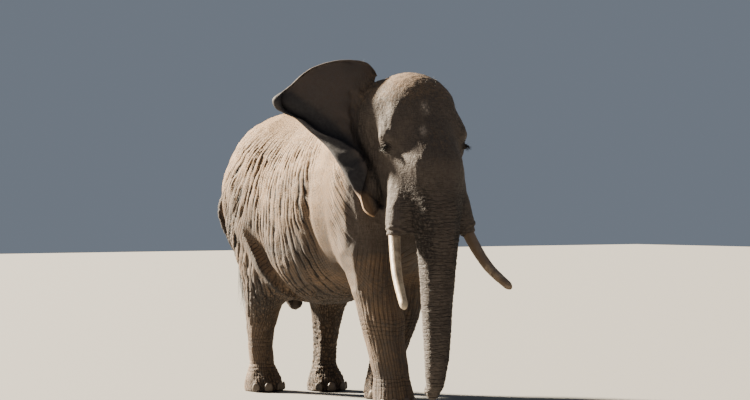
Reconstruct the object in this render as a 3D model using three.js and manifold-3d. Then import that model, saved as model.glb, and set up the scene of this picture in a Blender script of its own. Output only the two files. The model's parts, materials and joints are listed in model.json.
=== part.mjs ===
// An African savanna elephant bull, life size, standing still in mid stride.
// Millimetres, +Z up. It walks toward -Y, its left side is +X and its right side is -X.
// Its flesh is one smooth form, made of named balls and limbs that melt into each other. The form is
// meshed region by region and cut on planes, so that the nodes meet with a small gap.
import * as THREE from 'three';
import { mergeVertices } from 'three/addons/utils/BufferGeometryUtils.js';
import Module from 'manifold-3d';

const wasm = await Module();
wasm.setup();

// ---------- driving dimensions ----------
const WITHERS = 3190;          // height of the back over the shoulders
const SADDLE = 2990;           // height of the back at its dip
const CROUP = 3045;            // height of the back over the hips
const BELLY_LOW = 990;         // lowest point of the belly, in front of the hind legs
const CHEST_LOW = 1270;        // underside of the breast, between the fore legs
const BREAST_Y = -1280;        // front of the chest
const RUMP_Y = 1880;           // back of the rump
const CHEST_HALF = 600;        // half width of the chest
const CHEST_Y = -640;          // middle of the chest
const CHEST_Z = 2150;
const BARREL_HALF = 790;       // half width of the belly
const RUMP_HALF = 740;         // half width of the rump

const HEAD_PIVOT = [-40, -1150, 2570];   // where the head turns on the neck, at eye height
const HEAD_YAW = THREE.MathUtils.degToRad(-15);      // turned to its own right
const HEAD_ROLL = THREE.MathUtils.degToRad(-1.5);    // and leaning that way
const HEAD_TOP = 3365 - HEAD_PIVOT[2];   // dome above the eyes
const EYE_AT = [430, -455, 35];          // left eye, in the head's own frame
const EYE_R = 27;
const MUZZLE_LOW = -940;                 // lowest point of the head, in its own frame

const FORE_FOOT_R = 228;
const HIND_FOOT_R = 205;
// Where the middle of each foot stands.
const STEP = {
  fore_right: { x: -250, y: -1190 },
  fore_left: { x: 240, y: -330 },
  hind_left: { x: 290, y: 800 },
  hind_right: { x: -290, y: 1155 },
};

// Cells of the meshes, longer where a form runs straight.
const CELL = {
  torso: [165, 235, 172],
  neck: [140, 140, 150],
  leg: [122, 122, 185],
  head: [103, 103, 105],
  jaw: [110, 110, 90],
  trunk: [72, 72, 120],
};
const SHOULDER_Y = -830;       // where the fore legs hang from
const GAP = 0.4;               // clear space left between nodes that meet on a plane
const SEAT = 1.5;              // and round a curved seat
const WELD = 0.05;             // points closer than this are one
const EAR_THICK = 52;          // an ear at its root
const EAR_EDGE = 12;           // and at its rim
const EAR_CAMBER = { right: 0, left: 0.04 };    // how far an ear bows, as a share of its width
const EAR_WAVE = 0.03;         // and how far it waves on the way, in and out
const EAR_GRID = { right: [15, 8], left: [13, 5] };

// ---------- forms: functions of (x, y, z), negative inside ----------
function ball(at, radii) {
  const [rx, ry, rz] = radii.length === 3 ? radii : [radii[0], radii[0], radii[0]];
  return (x, y, z) => {
    const [dx, dy, dz] = [x - at[0], y - at[1], z - at[2]];
    const near = Math.hypot(dx / rx, dy / ry, dz / rz);
    const slope = Math.hypot(dx / rx ** 2, dy / ry ** 2, dz / rz ** 2);
    return slope > 0 ? near * (near - 1) / slope : -Math.min(rx, ry, rz);
  };
}

// A chain of round, tapering lengths. Each point is [x, y, z, radius].
function limb(...points) {
  const lengths = points.slice(1).map((b, i) => {
    const a = points[i];
    const along = [b[0] - a[0], b[1] - a[1], b[2] - a[2]];
    return { a, b, along, square: along[0] ** 2 + along[1] ** 2 + along[2] ** 2 };
  });
  return (x, y, z) => {
    let nearest = Infinity;
    for (const { a, b, along, square } of lengths) {
      const [dx, dy, dz] = [x - a[0], y - a[1], z - a[2]];
      const dot = dx * along[0] + dy * along[1] + dz * along[2];
      const t = Math.min(1, Math.max(0, dot / square));
      const off = Math.hypot(dx - t * along[0], dy - t * along[1], dz - t * along[2]);
      nearest = Math.min(nearest, off - a[3] - t * (b[3] - a[3]));
    }
    return nearest;
  };
}

function meltPair(a, b, width) {
  const reach = Math.max(width - Math.abs(a - b), 0) / width;
  return Math.min(a, b) - reach * reach * width / 4;
}

function melt(width, ...forms) {
  return (x, y, z) => forms.reduce((sum, form) => meltPair(sum, form(x, y, z), width), 1e6);
}

const both = (make) => [make(1), make(-1)];

// ---------- the body's forms ----------
function torsoForm() {
  const barrelTop = SADDLE - 60;
  const ridge = 300;
  return melt(
    260,
    ball([0, CHEST_Y, CHEST_Z], [CHEST_HALF, CHEST_Y - BREAST_Y, CHEST_Z - CHEST_LOW]),
    ball([0, 190, (barrelTop + BELLY_LOW) / 2 + 20],
      [BARREL_HALF - 40, 1120, (barrelTop - BELLY_LOW) / 2 - 30]),
    ball([0, 480, BELLY_LOW + 470], [BARREL_HALF - 120, 820, 470]),
    ball([0, 1080, 2160], [RUMP_HALF - 60, RUMP_Y - 1080, 800]),
    limb([0, -820, WITHERS - ridge, ridge - 40], [0, -250, SADDLE - ridge, ridge - 40],
      [0, 350, SADDLE - ridge - 30, ridge - 40], [0, 950, CROUP - ridge - 20, ridge - 20],
      [0, 1560, 2480, ridge - 60], [0, RUMP_Y - 140, 2250, 170]),
    ...both((s) => limb([s * 275, -620, 2760, 215], [s * 385, -880, 2050, 250])),
    ...both((s) => ball([s * 350, 930, 2550], [285, 350, 305])),
  );
}

function foreLegForm(name) {
  const foot = STEP[name];
  const s = Math.sign(foot.x);
  const stride = foot.y - SHOULDER_Y;
  const elbow = [s * 415, SHOULDER_Y + stride * 0.28, 1560];
  const swing = foot.y - elbow[1];
  const wrist = [s * 315, elbow[1] + swing * 0.62, 800];
  return melt(
    110,
    limb([s * 385, -850, 2250, 285], [...elbow, 255], [...wrist, 196],
      [foot.x * 1.03, foot.y - swing * 0.08, 300, 186], [foot.x, foot.y, 60, FORE_FOOT_R - 8]),
    ball([wrist[0], wrist[1] - 20, wrist[2] + 60], [205, 205, 240]),
    ball([elbow[0] - s * 30, elbow[1] + 170, elbow[2] + 20], [190, 190, 260]),
  );
}

function hindLegForm(name) {
  const foot = STEP[name];
  const s = Math.sign(foot.x);
  const knee = [s * 375, foot.y * 0.45 + 465, 1230];
  const hock = [s * 310, foot.y + 30, 560];
  return melt(
    120,
    limb([s * 370, 1130, 2180, 370], [s * 375, 1095, 1770, 362], [...knee, 248],
      [...hock, 142], [foot.x, foot.y + 10, 270, 138], [foot.x, foot.y, 60, HIND_FOOT_R - 12]),
    ball([knee[0], knee[1] - 90, knee[2] - 20], [215, 220, 260]),
    ball([foot.x, foot.y - 40, 70], [HIND_FOOT_R - 15, HIND_FOOT_R + 5, 130]),
  );
}

// ---------- the head's forms, in its own frame: it looks toward -Y, eyes at z = 0 ----------
const TRUNK_LINE = [
  [0, -600, -190, 290], [-8, -700, -560, 262], [-18, -765, -860, 222], [-30, -772, -1180, 186],
  [-42, -768, -1500, 160], [-52, -775, -1820, 142], [-60, -772, -2080, 122], [-66, -735, -2270, 104],
  [-70, -655, -2372, 88],
];

function headForm() {
  return melt(
    150,
    ball([-20, -120, HEAD_TOP - 400], [460, 400, 400]),
    ball([0, 40, 200], [380, 330, 480]),
    limb([0, -270, 330, 330], [0, -470, 40, 300], TRUNK_LINE[0]),
    ...both((s) => limb([s * 170, -330, 380, 170], [s * 350, -410, 170, 112], [s * 345, -400, 10, 98])),
    ...both((s) => limb([s * 335, 50, 590, 100], [s * 400, 30, 400, 110], [s * 425, 10, 80, 120],
      [s * 320, -70, -260, 130])),
    ...both((s) => ball([s * 180, -230, -330], [185, 330, 370])),
    ...both((s) => limb([s * 180, -470, -250, 180], [s * 290 - 20, -560, -560, 150],
      [s * 368 - 20, -600, -760, 112])),
  );
}

function jawForm() {
  return melt(90, limb([0, -60, -560, 215], [0, -330, -700, 150], [0, -520, -790, 82]));
}

function neckForm() {
  return melt(
    200,
    limb([0, -700, 2650, 430], [-10, -1080, 2790, 350]),
    limb([0, -760, 2200, 440], [-20, -1120, 2420, 370]),
    limb([0, -800, 1850, 380], [-30, -1230, 2130, 260]),
  );
}

const headMatrix = new THREE.Matrix4()
  .makeRotationFromEuler(new THREE.Euler(0, HEAD_ROLL, HEAD_YAW, 'ZYX'))
  .setPosition(...HEAD_PIVOT);

// The same form seen from another frame.
function through(matrix, form) {
  const m = matrix.elements;
  return (x, y, z) => form(
    m[0] * x + m[4] * y + m[8] * z + m[12],
    m[1] * x + m[5] * y + m[9] * z + m[13],
    m[2] * x + m[6] * y + m[10] * z + m[14],
  );
}

const inBody = (form) => through(headMatrix.clone().invert(), form);
const inHead = (form) => through(headMatrix, form);

const LEGS = ['fore_right', 'fore_left', 'hind_left', 'hind_right'];
const legForm = (name) => (name.startsWith('fore') ? foreLegForm(name) : hindLegForm(name));
const trunkForm = limb(...TRUNK_LINE);
const headAndTrunk = melt(120, headForm(), trunkForm);
const flesh = melt(
  170,
  melt(260, torsoForm(), neckForm()),
  inBody(headAndTrunk),
  ...LEGS.map(legForm),
);

// ---------- meshing ----------
// Corners of a cell and its edges, for the net of quads below.
const CORNERS = [0, 1, 2, 3, 4, 5, 6, 7].map((n) => [n & 1, (n >> 1) & 1, n >> 2]);
const EDGES = [];
for (let a = 0; a < 8; a += 1) {
  for (const bit of [1, 2, 4]) {
    if (!(a & bit)) EDGES.push([a, a | bit]);
  }
}

function pullToSurface(form, point, limit) {
  const step = 2;
  for (let pass = 0; pass < 3; pass += 1) {
    const [x, y, z] = point;
    const slope = [
      form(x + step, y, z) - form(x - step, y, z),
      form(x, y + step, z) - form(x, y - step, z),
      form(x, y, z + step) - form(x, y, z - step),
    ].map((v) => v / (2 * step));
    const steep = slope[0] ** 2 + slope[1] ** 2 + slope[2] ** 2;
    if (steep < 0.05) return point;
    const go = Math.max(-limit, Math.min(limit, form(x, y, z) / steep));
    point = point.map((v, i) => v - slope[i] * go);
  }
  return point;
}

// A closed mesh of a form inside a box: one vertex per cell that the surface crosses, one quad per
// grid edge that it crosses.
function meshForm(form, low, high, cell) {
  const count = low.map((v, i) => Math.ceil((high[i] - v) / cell[i]) + 3);
  const start = low.map((v, i) => v - cell[i] * 1.5);
  const closed = (x, y, z) => Math.max(
    form(x, y, z), low[0] - x, x - high[0], low[1] - y, y - high[1], low[2] - z, z - high[2],
  );
  const [nx, ny, nz] = count;
  const index = (i, j, k) => (k * ny + j) * nx + i;
  const value = new Float64Array(nx * ny * nz);
  for (let k = 0; k < nz; k += 1) {
    for (let j = 0; j < ny; j += 1) {
      for (let i = 0; i < nx; i += 1) {
        value[index(i, j, k)] = closed(start[0] + i * cell[0], start[1] + j * cell[1], start[2] + k * cell[2]);
      }
    }
  }
  const points = [];
  const cellPoint = new Int32Array(nx * ny * nz).fill(-1);
  for (let k = 0; k < nz - 1; k += 1) {
    for (let j = 0; j < ny - 1; j += 1) {
      for (let i = 0; i < nx - 1; i += 1) {
        const v = CORNERS.map(([a, b, c]) => value[index(i + a, j + b, k + c)]);
        const cuts = EDGES.filter(([a, b]) => (v[a] < 0) !== (v[b] < 0));
        if (!cuts.length) continue;
        const sum = [0, 0, 0];
        for (const [a, b] of cuts) {
          const t = v[a] / (v[a] - v[b]);
          for (let n = 0; n < 3; n += 1) sum[n] += CORNERS[a][n] + t * (CORNERS[b][n] - CORNERS[a][n]);
        }
        const raw = sum.map((n, axis) => start[axis] + ([i, j, k][axis] + n / cuts.length) * cell[axis]);
        const inner = raw.every((n, axis) => n > low[axis] + 1 && n < high[axis] - 1);
        cellPoint[index(i, j, k)] = points.length;
        points.push(inner ? pullToSurface(form, raw, Math.min(...cell) / 4) : raw);
      }
    }
  }
  const faces = [];
  const quad = (a, b, c, d, flip) => {
    const ring = flip ? [a, d, c, b] : [a, b, c, d];
    faces.push(ring[0], ring[1], ring[2], ring[0], ring[2], ring[3]);
  };
  for (let k = 1; k < nz - 1; k += 1) {
    for (let j = 1; j < ny - 1; j += 1) {
      for (let i = 1; i < nx - 1; i += 1) {
        const here = value[index(i, j, k)] < 0;
        const cellAt = (a, b, c) => cellPoint[index(i - a, j - b, k - c)];
        if (here !== value[index(i + 1, j, k)] < 0) {
          quad(cellAt(0, 1, 1), cellAt(0, 0, 1), cellAt(0, 0, 0), cellAt(0, 1, 0), !here);
        }
        if (here !== value[index(i, j + 1, k)] < 0) {
          quad(cellAt(1, 0, 1), cellAt(1, 0, 0), cellAt(0, 0, 0), cellAt(0, 0, 1), !here);
        }
        if (here !== value[index(i, j, k + 1)] < 0) {
          quad(cellAt(1, 1, 0), cellAt(0, 1, 0), cellAt(0, 0, 0), cellAt(1, 0, 0), !here);
        }
      }
    }
  }
  const geometry = new THREE.BufferGeometry();
  geometry.setAttribute('position', new THREE.Float32BufferAttribute(points.flat(), 3));
  geometry.setIndex(faces);
  return geometry;
}

// ---------- joining and cutting ----------
function toManifold(geometry) {
  const bare = geometry.clone();
  bare.deleteAttribute('normal');
  bare.deleteAttribute('uv');
  const tidy = mergeVertices(bare, 1e-3);
  return new wasm.Manifold(new wasm.Mesh({
    numProp: 3,
    vertProperties: new Float32Array(tidy.attributes.position.array),
    triVerts: new Uint32Array(tidy.index.array),
  }));
}

// Points closer than the weld become one, and the slivers between them go: first the faces that
// shrink to a line, then the pairs of faces that lie back to back.
function weld(vertices, triangles) {
  const kept = [];
  const seen = new Map();
  const renamed = [];
  for (let n = 0; n < vertices.length / 3; n += 1) {
    const point = [0, 1, 2].map((axis) => Math.round(vertices[3 * n + axis] / WELD) * WELD);
    const key = point.map((v) => v.toFixed(2)).join();
    if (!seen.has(key)) {
      seen.set(key, kept.length);
      kept.push(point);
    }
    renamed.push(seen.get(key));
  }
  const faces = new Map();
  for (let n = 0; n < triangles.length; n += 3) {
    const face = [0, 1, 2].map((corner) => renamed[triangles[n + corner]]);
    if (new Set(face).size < 3) continue;
    const key = [...face].sort((a, b) => a - b).join();
    if (faces.has(key)) faces.delete(key);
    else faces.set(key, face);
  }
  return { points: kept.flat(), faces: [...faces.values()].flat() };
}

function toGeometry(solid) {
  const mesh = solid.getMesh();
  const { points, faces } = weld(mesh.vertProperties, mesh.triVerts);
  const geometry = new THREE.BufferGeometry();
  geometry.setAttribute('position', new THREE.Float32BufferAttribute(points, 3));
  geometry.setIndex(faces);
  return geometry;
}

// The same shape with its surface moved out, to cut a seat that clears its neighbour.
function swell(geometry, by) {
  const fat = mergeVertices(geometry.clone().deleteAttribute('normal').deleteAttribute('uv'), 1e-3);
  fat.computeVertexNormals();
  const { position, normal } = fat.attributes;
  for (let n = 0; n < position.count; n += 1) {
    position.setXYZ(n, position.getX(n) + by * normal.getX(n), position.getY(n) + by * normal.getY(n),
      position.getZ(n) + by * normal.getZ(n));
  }
  return fat;
}

function boxBetween(low, high) {
  const size = low.map((v, i) => high[i] - v);
  return new THREE.BoxGeometry(...size).translate(...low.map((v, i) => v + size[i] / 2));
}

const intersect = (geometry, ...cutters) => toGeometry(
  cutters.reduce((solid, cutter) => solid.intersect(toManifold(cutter)), toManifold(geometry)),
);
const subtract = (geometry, ...cutters) => toGeometry(
  cutters.reduce((solid, cutter) => solid.subtract(toManifold(cutter)), toManifold(geometry)),
);
const seat = (geometry, ...neighbours) => subtract(geometry, ...neighbours.map((n) => swell(n, SEAT)));

// Everything behind a plane: a large box whose one face lies at the point, square to the normal.
const REACH = 4000;
function behind(point, normal, gap = 0) {
  const out = new THREE.Vector3(...normal).normalize();
  const turn = new THREE.Quaternion().setFromUnitVectors(new THREE.Vector3(0, 0, 1), out);
  const box = new THREE.BoxGeometry(2 * REACH, 2 * REACH, 2 * REACH).translate(0, 0, -REACH - gap);
  return box.applyQuaternion(turn).translate(...point);
}
const ahead = (point, normal) => behind(point, normal.map((v) => -v), GAP);

// A profile drawn in Y and Z, stretched from one X to another.
function prism(outline, xFrom, xTo) {
  const shape = new THREE.Shape(outline.map(([y, z]) => new THREE.Vector2(y, z)));
  const geometry = new THREE.ExtrudeGeometry(shape, { depth: xTo - xFrom, bevelEnabled: false });
  return geometry.rotateX(Math.PI / 2).rotateZ(Math.PI / 2).translate(xFrom, 0, 0);
}

// Where a ray from inside a form comes out.
function surfaceAlong(form, from, direction) {
  const way = new THREE.Vector3(...direction).normalize();
  const at = new THREE.Vector3(...from);
  const step = 2;
  while (form(at.x, at.y, at.z) < 0) at.addScaledVector(way, step);
  return at;
}

// ---------- swept and lofted shapes ----------
// A closed tube along a curve, its radius given along its length from 0 to 1.
function taperedTube(points, radiusAt, rings, sides) {
  const curve = new THREE.CatmullRomCurve3(points.map((p) => new THREE.Vector3(...p)), false, 'centripetal');
  const frames = curve.computeFrenetFrames(rings, false);
  const rows = [];
  for (let i = 0; i <= rings; i += 1) {
    const t = i / rings;
    const centre = curve.getPointAt(t);
    const row = [];
    for (let j = 0; j < sides; j += 1) {
      const turn = j / sides * 2 * Math.PI;
      row.push(centre.clone()
        .addScaledVector(frames.normals[i], Math.cos(turn) * radiusAt(t))
        .addScaledVector(frames.binormals[i], Math.sin(turn) * radiusAt(t)));
    }
    rows.push(row);
  }
  return closedLoft(rows, curve.getPointAt(0), curve.getPointAt(1));
}

// Rings of points joined into a skin, closed by a fan at each end.
function closedLoft(rows, firstPole, lastPole) {
  const sides = rows[0].length;
  const points = [...rows.flat(), firstPole, lastPole];
  const faces = [];
  const first = rows.length * sides;
  for (let j = 0; j < sides; j += 1) {
    const next = (j + 1) % sides;
    faces.push(first, next, j);
    faces.push(first + 1, (rows.length - 1) * sides + j, (rows.length - 1) * sides + next);
    for (let i = 0; i < rows.length - 1; i += 1) {
      const [a, b, c, d] = [i * sides + j, i * sides + next, (i + 1) * sides + next, (i + 1) * sides + j];
      faces.push(a, b, c, a, c, d);
    }
  }
  const geometry = new THREE.BufferGeometry().setFromPoints(points);
  geometry.setIndex(faces);
  return geometry;
}

// A sheet with thickness, from a function of two values from 0 to 1 that gives points on its middle.
// The four sides close it. Its thickness is given along the second value.
function thickSheet(pointAt, thickAt, nu, nv) {
  const front = [];
  const back = [];
  const small = 1e-3;
  for (let i = 0; i <= nu; i += 1) {
    for (let j = 0; j <= nv; j += 1) {
      const [u, v] = [i / nu, j / nv];
      const du = pointAt(Math.min(1, u + small), v).sub(pointAt(Math.max(0, u - small), v));
      const dv = pointAt(u, Math.min(1, v + small)).sub(pointAt(u, Math.max(0, v - small)));
      const normal = du.cross(dv).normalize();
      const middle = pointAt(u, v);
      front.push(middle.clone().addScaledVector(normal, thickAt(v) / 2));
      back.push(middle.addScaledVector(normal, -thickAt(v) / 2));
    }
  }
  const width = nv + 1;
  const faces = [];
  const backOf = front.length;
  for (let i = 0; i < nu; i += 1) {
    for (let j = 0; j < nv; j += 1) {
      const [a, b, c, d] = [i * width + j, (i + 1) * width + j, (i + 1) * width + j + 1, i * width + j + 1];
      faces.push(a, b, c, a, c, d);
      faces.push(backOf + a, backOf + c, backOf + b, backOf + a, backOf + d, backOf + c);
    }
  }
  const edge = [];
  for (let i = 0; i < nu; i += 1) edge.push(i * width);
  for (let j = 0; j < nv; j += 1) edge.push(nu * width + j);
  for (let i = nu; i > 0; i -= 1) edge.push(i * width + nv);
  for (let j = nv; j > 0; j -= 1) edge.push(j);
  edge.forEach((a, n) => {
    const b = edge[(n + 1) % edge.length];
    faces.push(a, backOf + a, backOf + b, a, backOf + b, b);
  });
  const geometry = new THREE.BufferGeometry().setFromPoints([...front, ...back]);
  geometry.setIndex(faces);
  return geometry;
}

// ---------- materials ----------
const LOOKS = {
  skin: { color: '#8a7866', roughness: 0.9 },
  skin_ear: { color: '#877667', roughness: 0.9 },
  ivory: { color: '#e4d8bf', roughness: 0.45 },
  eye: { color: '#2a1a10', roughness: 0.12 },
  nail: { color: '#a3937d', roughness: 0.7 },
  hair: { color: '#1d1a18', roughness: 0.8 },
};

function node(name, geometry, look) {
  const material = new THREE.MeshStandardMaterial({ ...LOOKS[look], metalness: 0 });
  const mesh = new THREE.Mesh(geometry, material);
  mesh.name = name;
  return mesh;
}

// ---------- regions of the flesh ----------
const NECK_PLANE = { at: [0, -890, 2500], normal: [0, -0.94, 0.34] };
const HEAD_PLANE = { at: [0, 30, 0], normal: [0, 0.96, -0.28] };   // in the head's frame
const KEEL_HALF = 45;          // half of the strip the torso keeps between a left and a right leg
const OUT = 950;               // clear of the widest flesh
const LEG_TOP = { fore: CHEST_LOW - 90, hind: 1190 };     // where the torso ends and a leg begins
const LEG_SPAN = { fore: [-1540, -100], hind: [530, 2300] };    // its region, from front to back
const UNDER_BELLY = BELLY_LOW - 40;
const BELOW = -600;            // clear of the floor

// The region is drawn from the side. A fore leg's steps down behind the elbow, under the belly.
function legOutline(name) {
  const kind = name.slice(0, 4);
  const [front, back] = LEG_SPAN[kind];
  const top = LEG_TOP[kind];
  if (kind === 'hind') return [[front, BELOW], [back, BELOW], [back, top], [front, top]];
  const elbowBack = SHOULDER_Y + 270 + Math.max(0, STEP[name].y - SHOULDER_Y) / 2;
  return [[front, BELOW], [back, BELOW], [back, UNDER_BELLY], [elbowBack, UNDER_BELLY],
    [elbowBack, top], [front, top]];
}

function legRegion(name, gap) {
  const s = Math.sign(STEP[name].x);
  const [inner, outer] = [s * (KEEL_HALF + gap), s * OUT];
  return prism(legOutline(name), Math.min(inner, outer), Math.max(inner, outer)).translate(0, 0, -gap);
}

const floor = boxBetween([-REACH, -REACH, 0], [REACH, REACH, 2 * REACH]);
const bodyMesh = meshForm(flesh, [-900, -1500, 850], [900, 2100, 3400], CELL.torso);
const torso = subtract(
  intersect(bodyMesh, behind(NECK_PLANE.at, NECK_PLANE.normal)),
  ...LEGS.map((name) => legRegion(name, 0)),
);

// A leg is meshed with this much round it, and cut to its region afterwards.
const LEG_SPARE = { x: 150, y: 900, z: 250 };

function legMesh(name) {
  const foot = STEP[name];
  const s = Math.sign(foot.x);
  const [inner, outer] = [-LEG_SPARE.x, OUT + LEG_SPARE.x];
  const low = [s > 0 ? inner : -outer, foot.y - LEG_SPARE.y, -LEG_SPARE.z];
  const high = [s > 0 ? outer : -inner, foot.y + LEG_SPARE.y, LEG_TOP[name.slice(0, 4)] + LEG_SPARE.z];
  return meshForm(flesh, low, high, CELL.leg);
}

// In the head's frame.
const headFlesh = inHead(flesh);
const TRUNK_CUTS = [-730, -1330, -1830, -2900];    // the last is below its tip
const TRUNK_HALF = 250;                            // half width of the trunk's region
const TRUNK_FRONT = -1400;
const TRUNK_BACK = -380;
const trunkRegion = boxBetween([-TRUNK_HALF, TRUNK_FRONT, -REACH], [TRUNK_HALF, TRUNK_BACK, TRUNK_CUTS[0]]);
const eyeFace = surfaceAlong(headFlesh, [250, EYE_AT[1], EYE_AT[2]], [1, 0, 0]);
const eyeCentre = (s) => [s * (eyeFace.x - EYE_R * 0.5), EYE_AT[1], EYE_AT[2]];
const eyeBall = (s) => new THREE.SphereGeometry(EYE_R, 8, 6).translate(...eyeCentre(s));
const headMesh = meshForm(headFlesh, [-700, -1250, -1050], [700, 400, 1000], CELL.head);
const head = subtract(
  intersect(headMesh, behind(HEAD_PLANE.at, HEAD_PLANE.normal)),
  trunkRegion,
  boxBetween([-REACH, -REACH, -REACH], [REACH, REACH, MUZZLE_LOW]),
  ...both((s) => swell(eyeBall(s), SEAT)),
);

const inHeadFrame = (geometry) => geometry.clone().applyMatrix4(headMatrix.clone().invert());
const inBodyFrame = (geometry) => geometry.clone().applyMatrix4(headMatrix);

const neckMesh = meshForm(flesh, [-800, -1800, 1500], [800, -600, 3500], CELL.neck);
const neck = intersect(
  neckMesh,
  ahead(NECK_PLANE.at, NECK_PLANE.normal),
  inBodyFrame(ahead(HEAD_PLANE.at, HEAD_PLANE.normal)),
);

const trunkMesh = meshForm(headFlesh, [-420, -1200, -2600], [420, -300, -560], CELL.trunk);

function trunkLength(from, to) {
  return intersect(trunkMesh, boxBetween(
    [-TRUNK_HALF + GAP, TRUNK_FRONT, to + GAP],
    [TRUNK_HALF - GAP, TRUNK_BACK - GAP, from - GAP],
  ));
}

// ---------- ears ----------
const vectors = (points) => points.map((p) => new THREE.Vector3(...p));
const smooth = (t) => t * t * (3 - 2 * t);
const ramp = (a, b, t) => smooth(Math.min(1, Math.max(0, (t - a) / (b - a))));

// The right ear stands half out from the head. Its lower edge is folded forward over it, along a
// straight line from the tip down to the lobe.
const EAR_ROOT = [[-355, 30, 680], [-445, 15, 420], [-475, -15, 120], [-400, -80, -140], [-335, -130, -330]];
const RIGHT_RIM = [
  [-285, 90, 845], [-450, 120, 905], [-690, 210, 915], [-905, 320, 845], [-1060, 412, 707],
  [-1195, 498, 548], [-1130, 482, 455], [-1010, 405, 360], [-872, 295, 192], [-765, 148, 35],
  [-700, 20, -125], [-650, -80, -270], [-586, -130, -440], [-543, -130, -590], [-456, -120, -660],
  [-375, -100, -540],
];
// The folded part: where along the rim it starts, is full, holds to and ends, how wide it is, and
// the radius it turns with there and along the plain rim.
const FOLD = { from: 0.32, full: 0.43, hold: 0.72, end: 0.82, width: 190, radius: 34, rim: 13 };

function earSheet(root, rim, camber, fold, side) {
  const rootCurve = new THREE.CatmullRomCurve3(vectors(root));
  const rimCurve = new THREE.CatmullRomCurve3(vectors(rim));
  const turnAt = 0.72;                       // where along the sheet its fold begins
  return (u, v) => {
    const inner = rootCurve.getPoint(u);
    const outer = rimCurve.getPoint(u);
    const inward = inner.clone().sub(outer).normalize();
    const along = rimCurve.getTangent(Math.min(0.999, Math.max(0.001, u)));
    const out = new THREE.Vector3().crossVectors(inward, along).normalize().multiplyScalar(side);
    const amount = ramp(fold.from, fold.full, u) * (1 - ramp(fold.hold, fold.end, u));
    const radius = fold.rim + (fold.radius - fold.rim) * amount;
    if (v <= turnAt) {
      const t = v / turnAt;
      const span = inner.distanceTo(outer);
      const bulge = Math.sin(Math.PI * t) * camber * span - Math.sin(2 * Math.PI * t) * EAR_WAVE * span;
      return inner.lerp(outer, t).addScaledVector(out, bulge);
    }
    const flap = fold.width * amount;
    const way = (v - turnAt) / (1 - turnAt);
    const arc = Math.PI * radius;
    const walked = way * (arc + flap + 1);
    const angle = Math.min(Math.PI, walked / radius);
    return outer.clone()
      .addScaledVector(out, radius * (1 - Math.cos(angle)))
      .addScaledVector(inward, Math.max(0, walked - arc) - radius * Math.sin(angle));
  };
}

// The left ear lies back along the neck and over the shoulder.
const LEFT_RIM = [
  [370, 130, 640], [520, 350, 650], [640, 620, 620], [705, 880, 500], [725, 1000, 260],
  [745, 950, -50], [780, 780, -390], [775, 520, -640], [640, 270, -830], [500, 60, -880], [390, -90, -640],
];
const OPEN = { from: 2, full: 3, hold: 3, end: 4, width: 0, radius: 13, rim: 13 };    // not folded
const earThick = (v) => EAR_EDGE + (EAR_THICK - EAR_EDGE) * (1 - ramp(0, 0.6, v));

// The flesh round the head as it was before the cuts, whose swollen surface is smooth everywhere.
const fleshThere = [headMesh, inHeadFrame(neckMesh), inHeadFrame(bodyMesh)];
function ear(side) {
  const sheet = side === 'right'
    ? earSheet(EAR_ROOT, RIGHT_RIM, EAR_CAMBER.right, FOLD, -1)
    : earSheet(EAR_ROOT.map(([x, y, z]) => [-x, y, z]), LEFT_RIM, EAR_CAMBER.left, OPEN, 1);
  return seat(thickSheet(sheet, earThick, ...EAR_GRID[side]), ...fleshThere);
}

// ---------- tusks, tail, sheath, nails ----------
const TUSK_LINE = {
  right: [[-340, -480, -480], [-405, -600, -790], [-490, -860, -1200], [-528, -1130, -1515]],
  left: [[325, -490, -480], [365, -600, -790], [465, -850, -1140], [565, -1180, -1360]],
};
const TUSK_R = 70;
const TUSK_TIP_R = 40;

function tusk(side) {
  const radius = (t) => (TUSK_R + (TUSK_TIP_R - TUSK_R) * t) * Math.sqrt(1 - ramp(0.9, 1.05, t));
  return seat(taperedTube(TUSK_LINE[side], radius, 9, 8), headMesh);
}

const TAIL_LINE = [
  [0, 1720, 2480], [-40, 1900, 2430], [-190, 1980, 2230], [-305, 1985, 1960], [-205, 1985, 1680],
  [-40, 1965, 1380], [60, 1955, 1120],
];
const TUFT_LINE = [[60, 1955, 1150], [85, 1955, 1000], [95, 1965, 820], [90, 1980, 690]];

function tail() {
  const radius = (t) => (78 - 50 * Math.sqrt(t)) * (1 - 0.6 * ramp(0.93, 1, t));
  return seat(taperedTube(TAIL_LINE, radius, 11, 6), bodyMesh);
}

function tailTuft(tailSolid) {
  const radius = (t) => 10 + 52 * Math.sin(Math.PI * Math.min(1, 0.12 + t * 0.86)) ** 0.8;
  return seat(taperedTube(TUFT_LINE, radius, 7, 6), tailSolid);
}

function sheath(hindMeshes) {
  const line = [[0, 1060, 1090], [0, 990, 1000], [0, 880, 920]];
  const radius = (t) => 105 - 25 * t - 60 * ramp(0.85, 1, t);
  return seat(taperedTube(line, radius, 5, 7), bodyMesh, ...hindMeshes);
}

const NAIL = { half_width: 46, half_height: 42, depth: 24, height: 58 };
const NAIL_ANGLES = { fore: [-66, -34, 0, 34, 66], hind: [-52, -18, 18, 52] };    // round the foot

function nails(name) {
  const foot = STEP[name];
  const angles = NAIL_ANGLES[name.slice(0, 4)];
  return angles.map((degrees, n) => {
    const turn = THREE.MathUtils.degToRad(degrees);
    const way = [Math.sin(turn), -Math.cos(turn), 0];
    const face = surfaceAlong(flesh, [foot.x, foot.y, NAIL.height], way);
    const size = 1 - 0.18 * Math.abs(degrees) / 66;
    const nail = new THREE.SphereGeometry(1, 6, 4)
      .scale(NAIL.half_width * size, NAIL.depth, NAIL.half_height * size)
      .rotateZ(turn)
      .translate(face.x - way[0] * NAIL.depth * 0.4, face.y - way[1] * NAIL.depth * 0.4, NAIL.height);
    return { name: `nail_${name}_${n + 1}`, solid: nail };
  });
}

// ---------- the whole ----------
const elephant = new THREE.Group();
elephant.name = 'elephant';
elephant.add(node('torso', torso, 'skin'), node('neck', neck, 'skin'));

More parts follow.
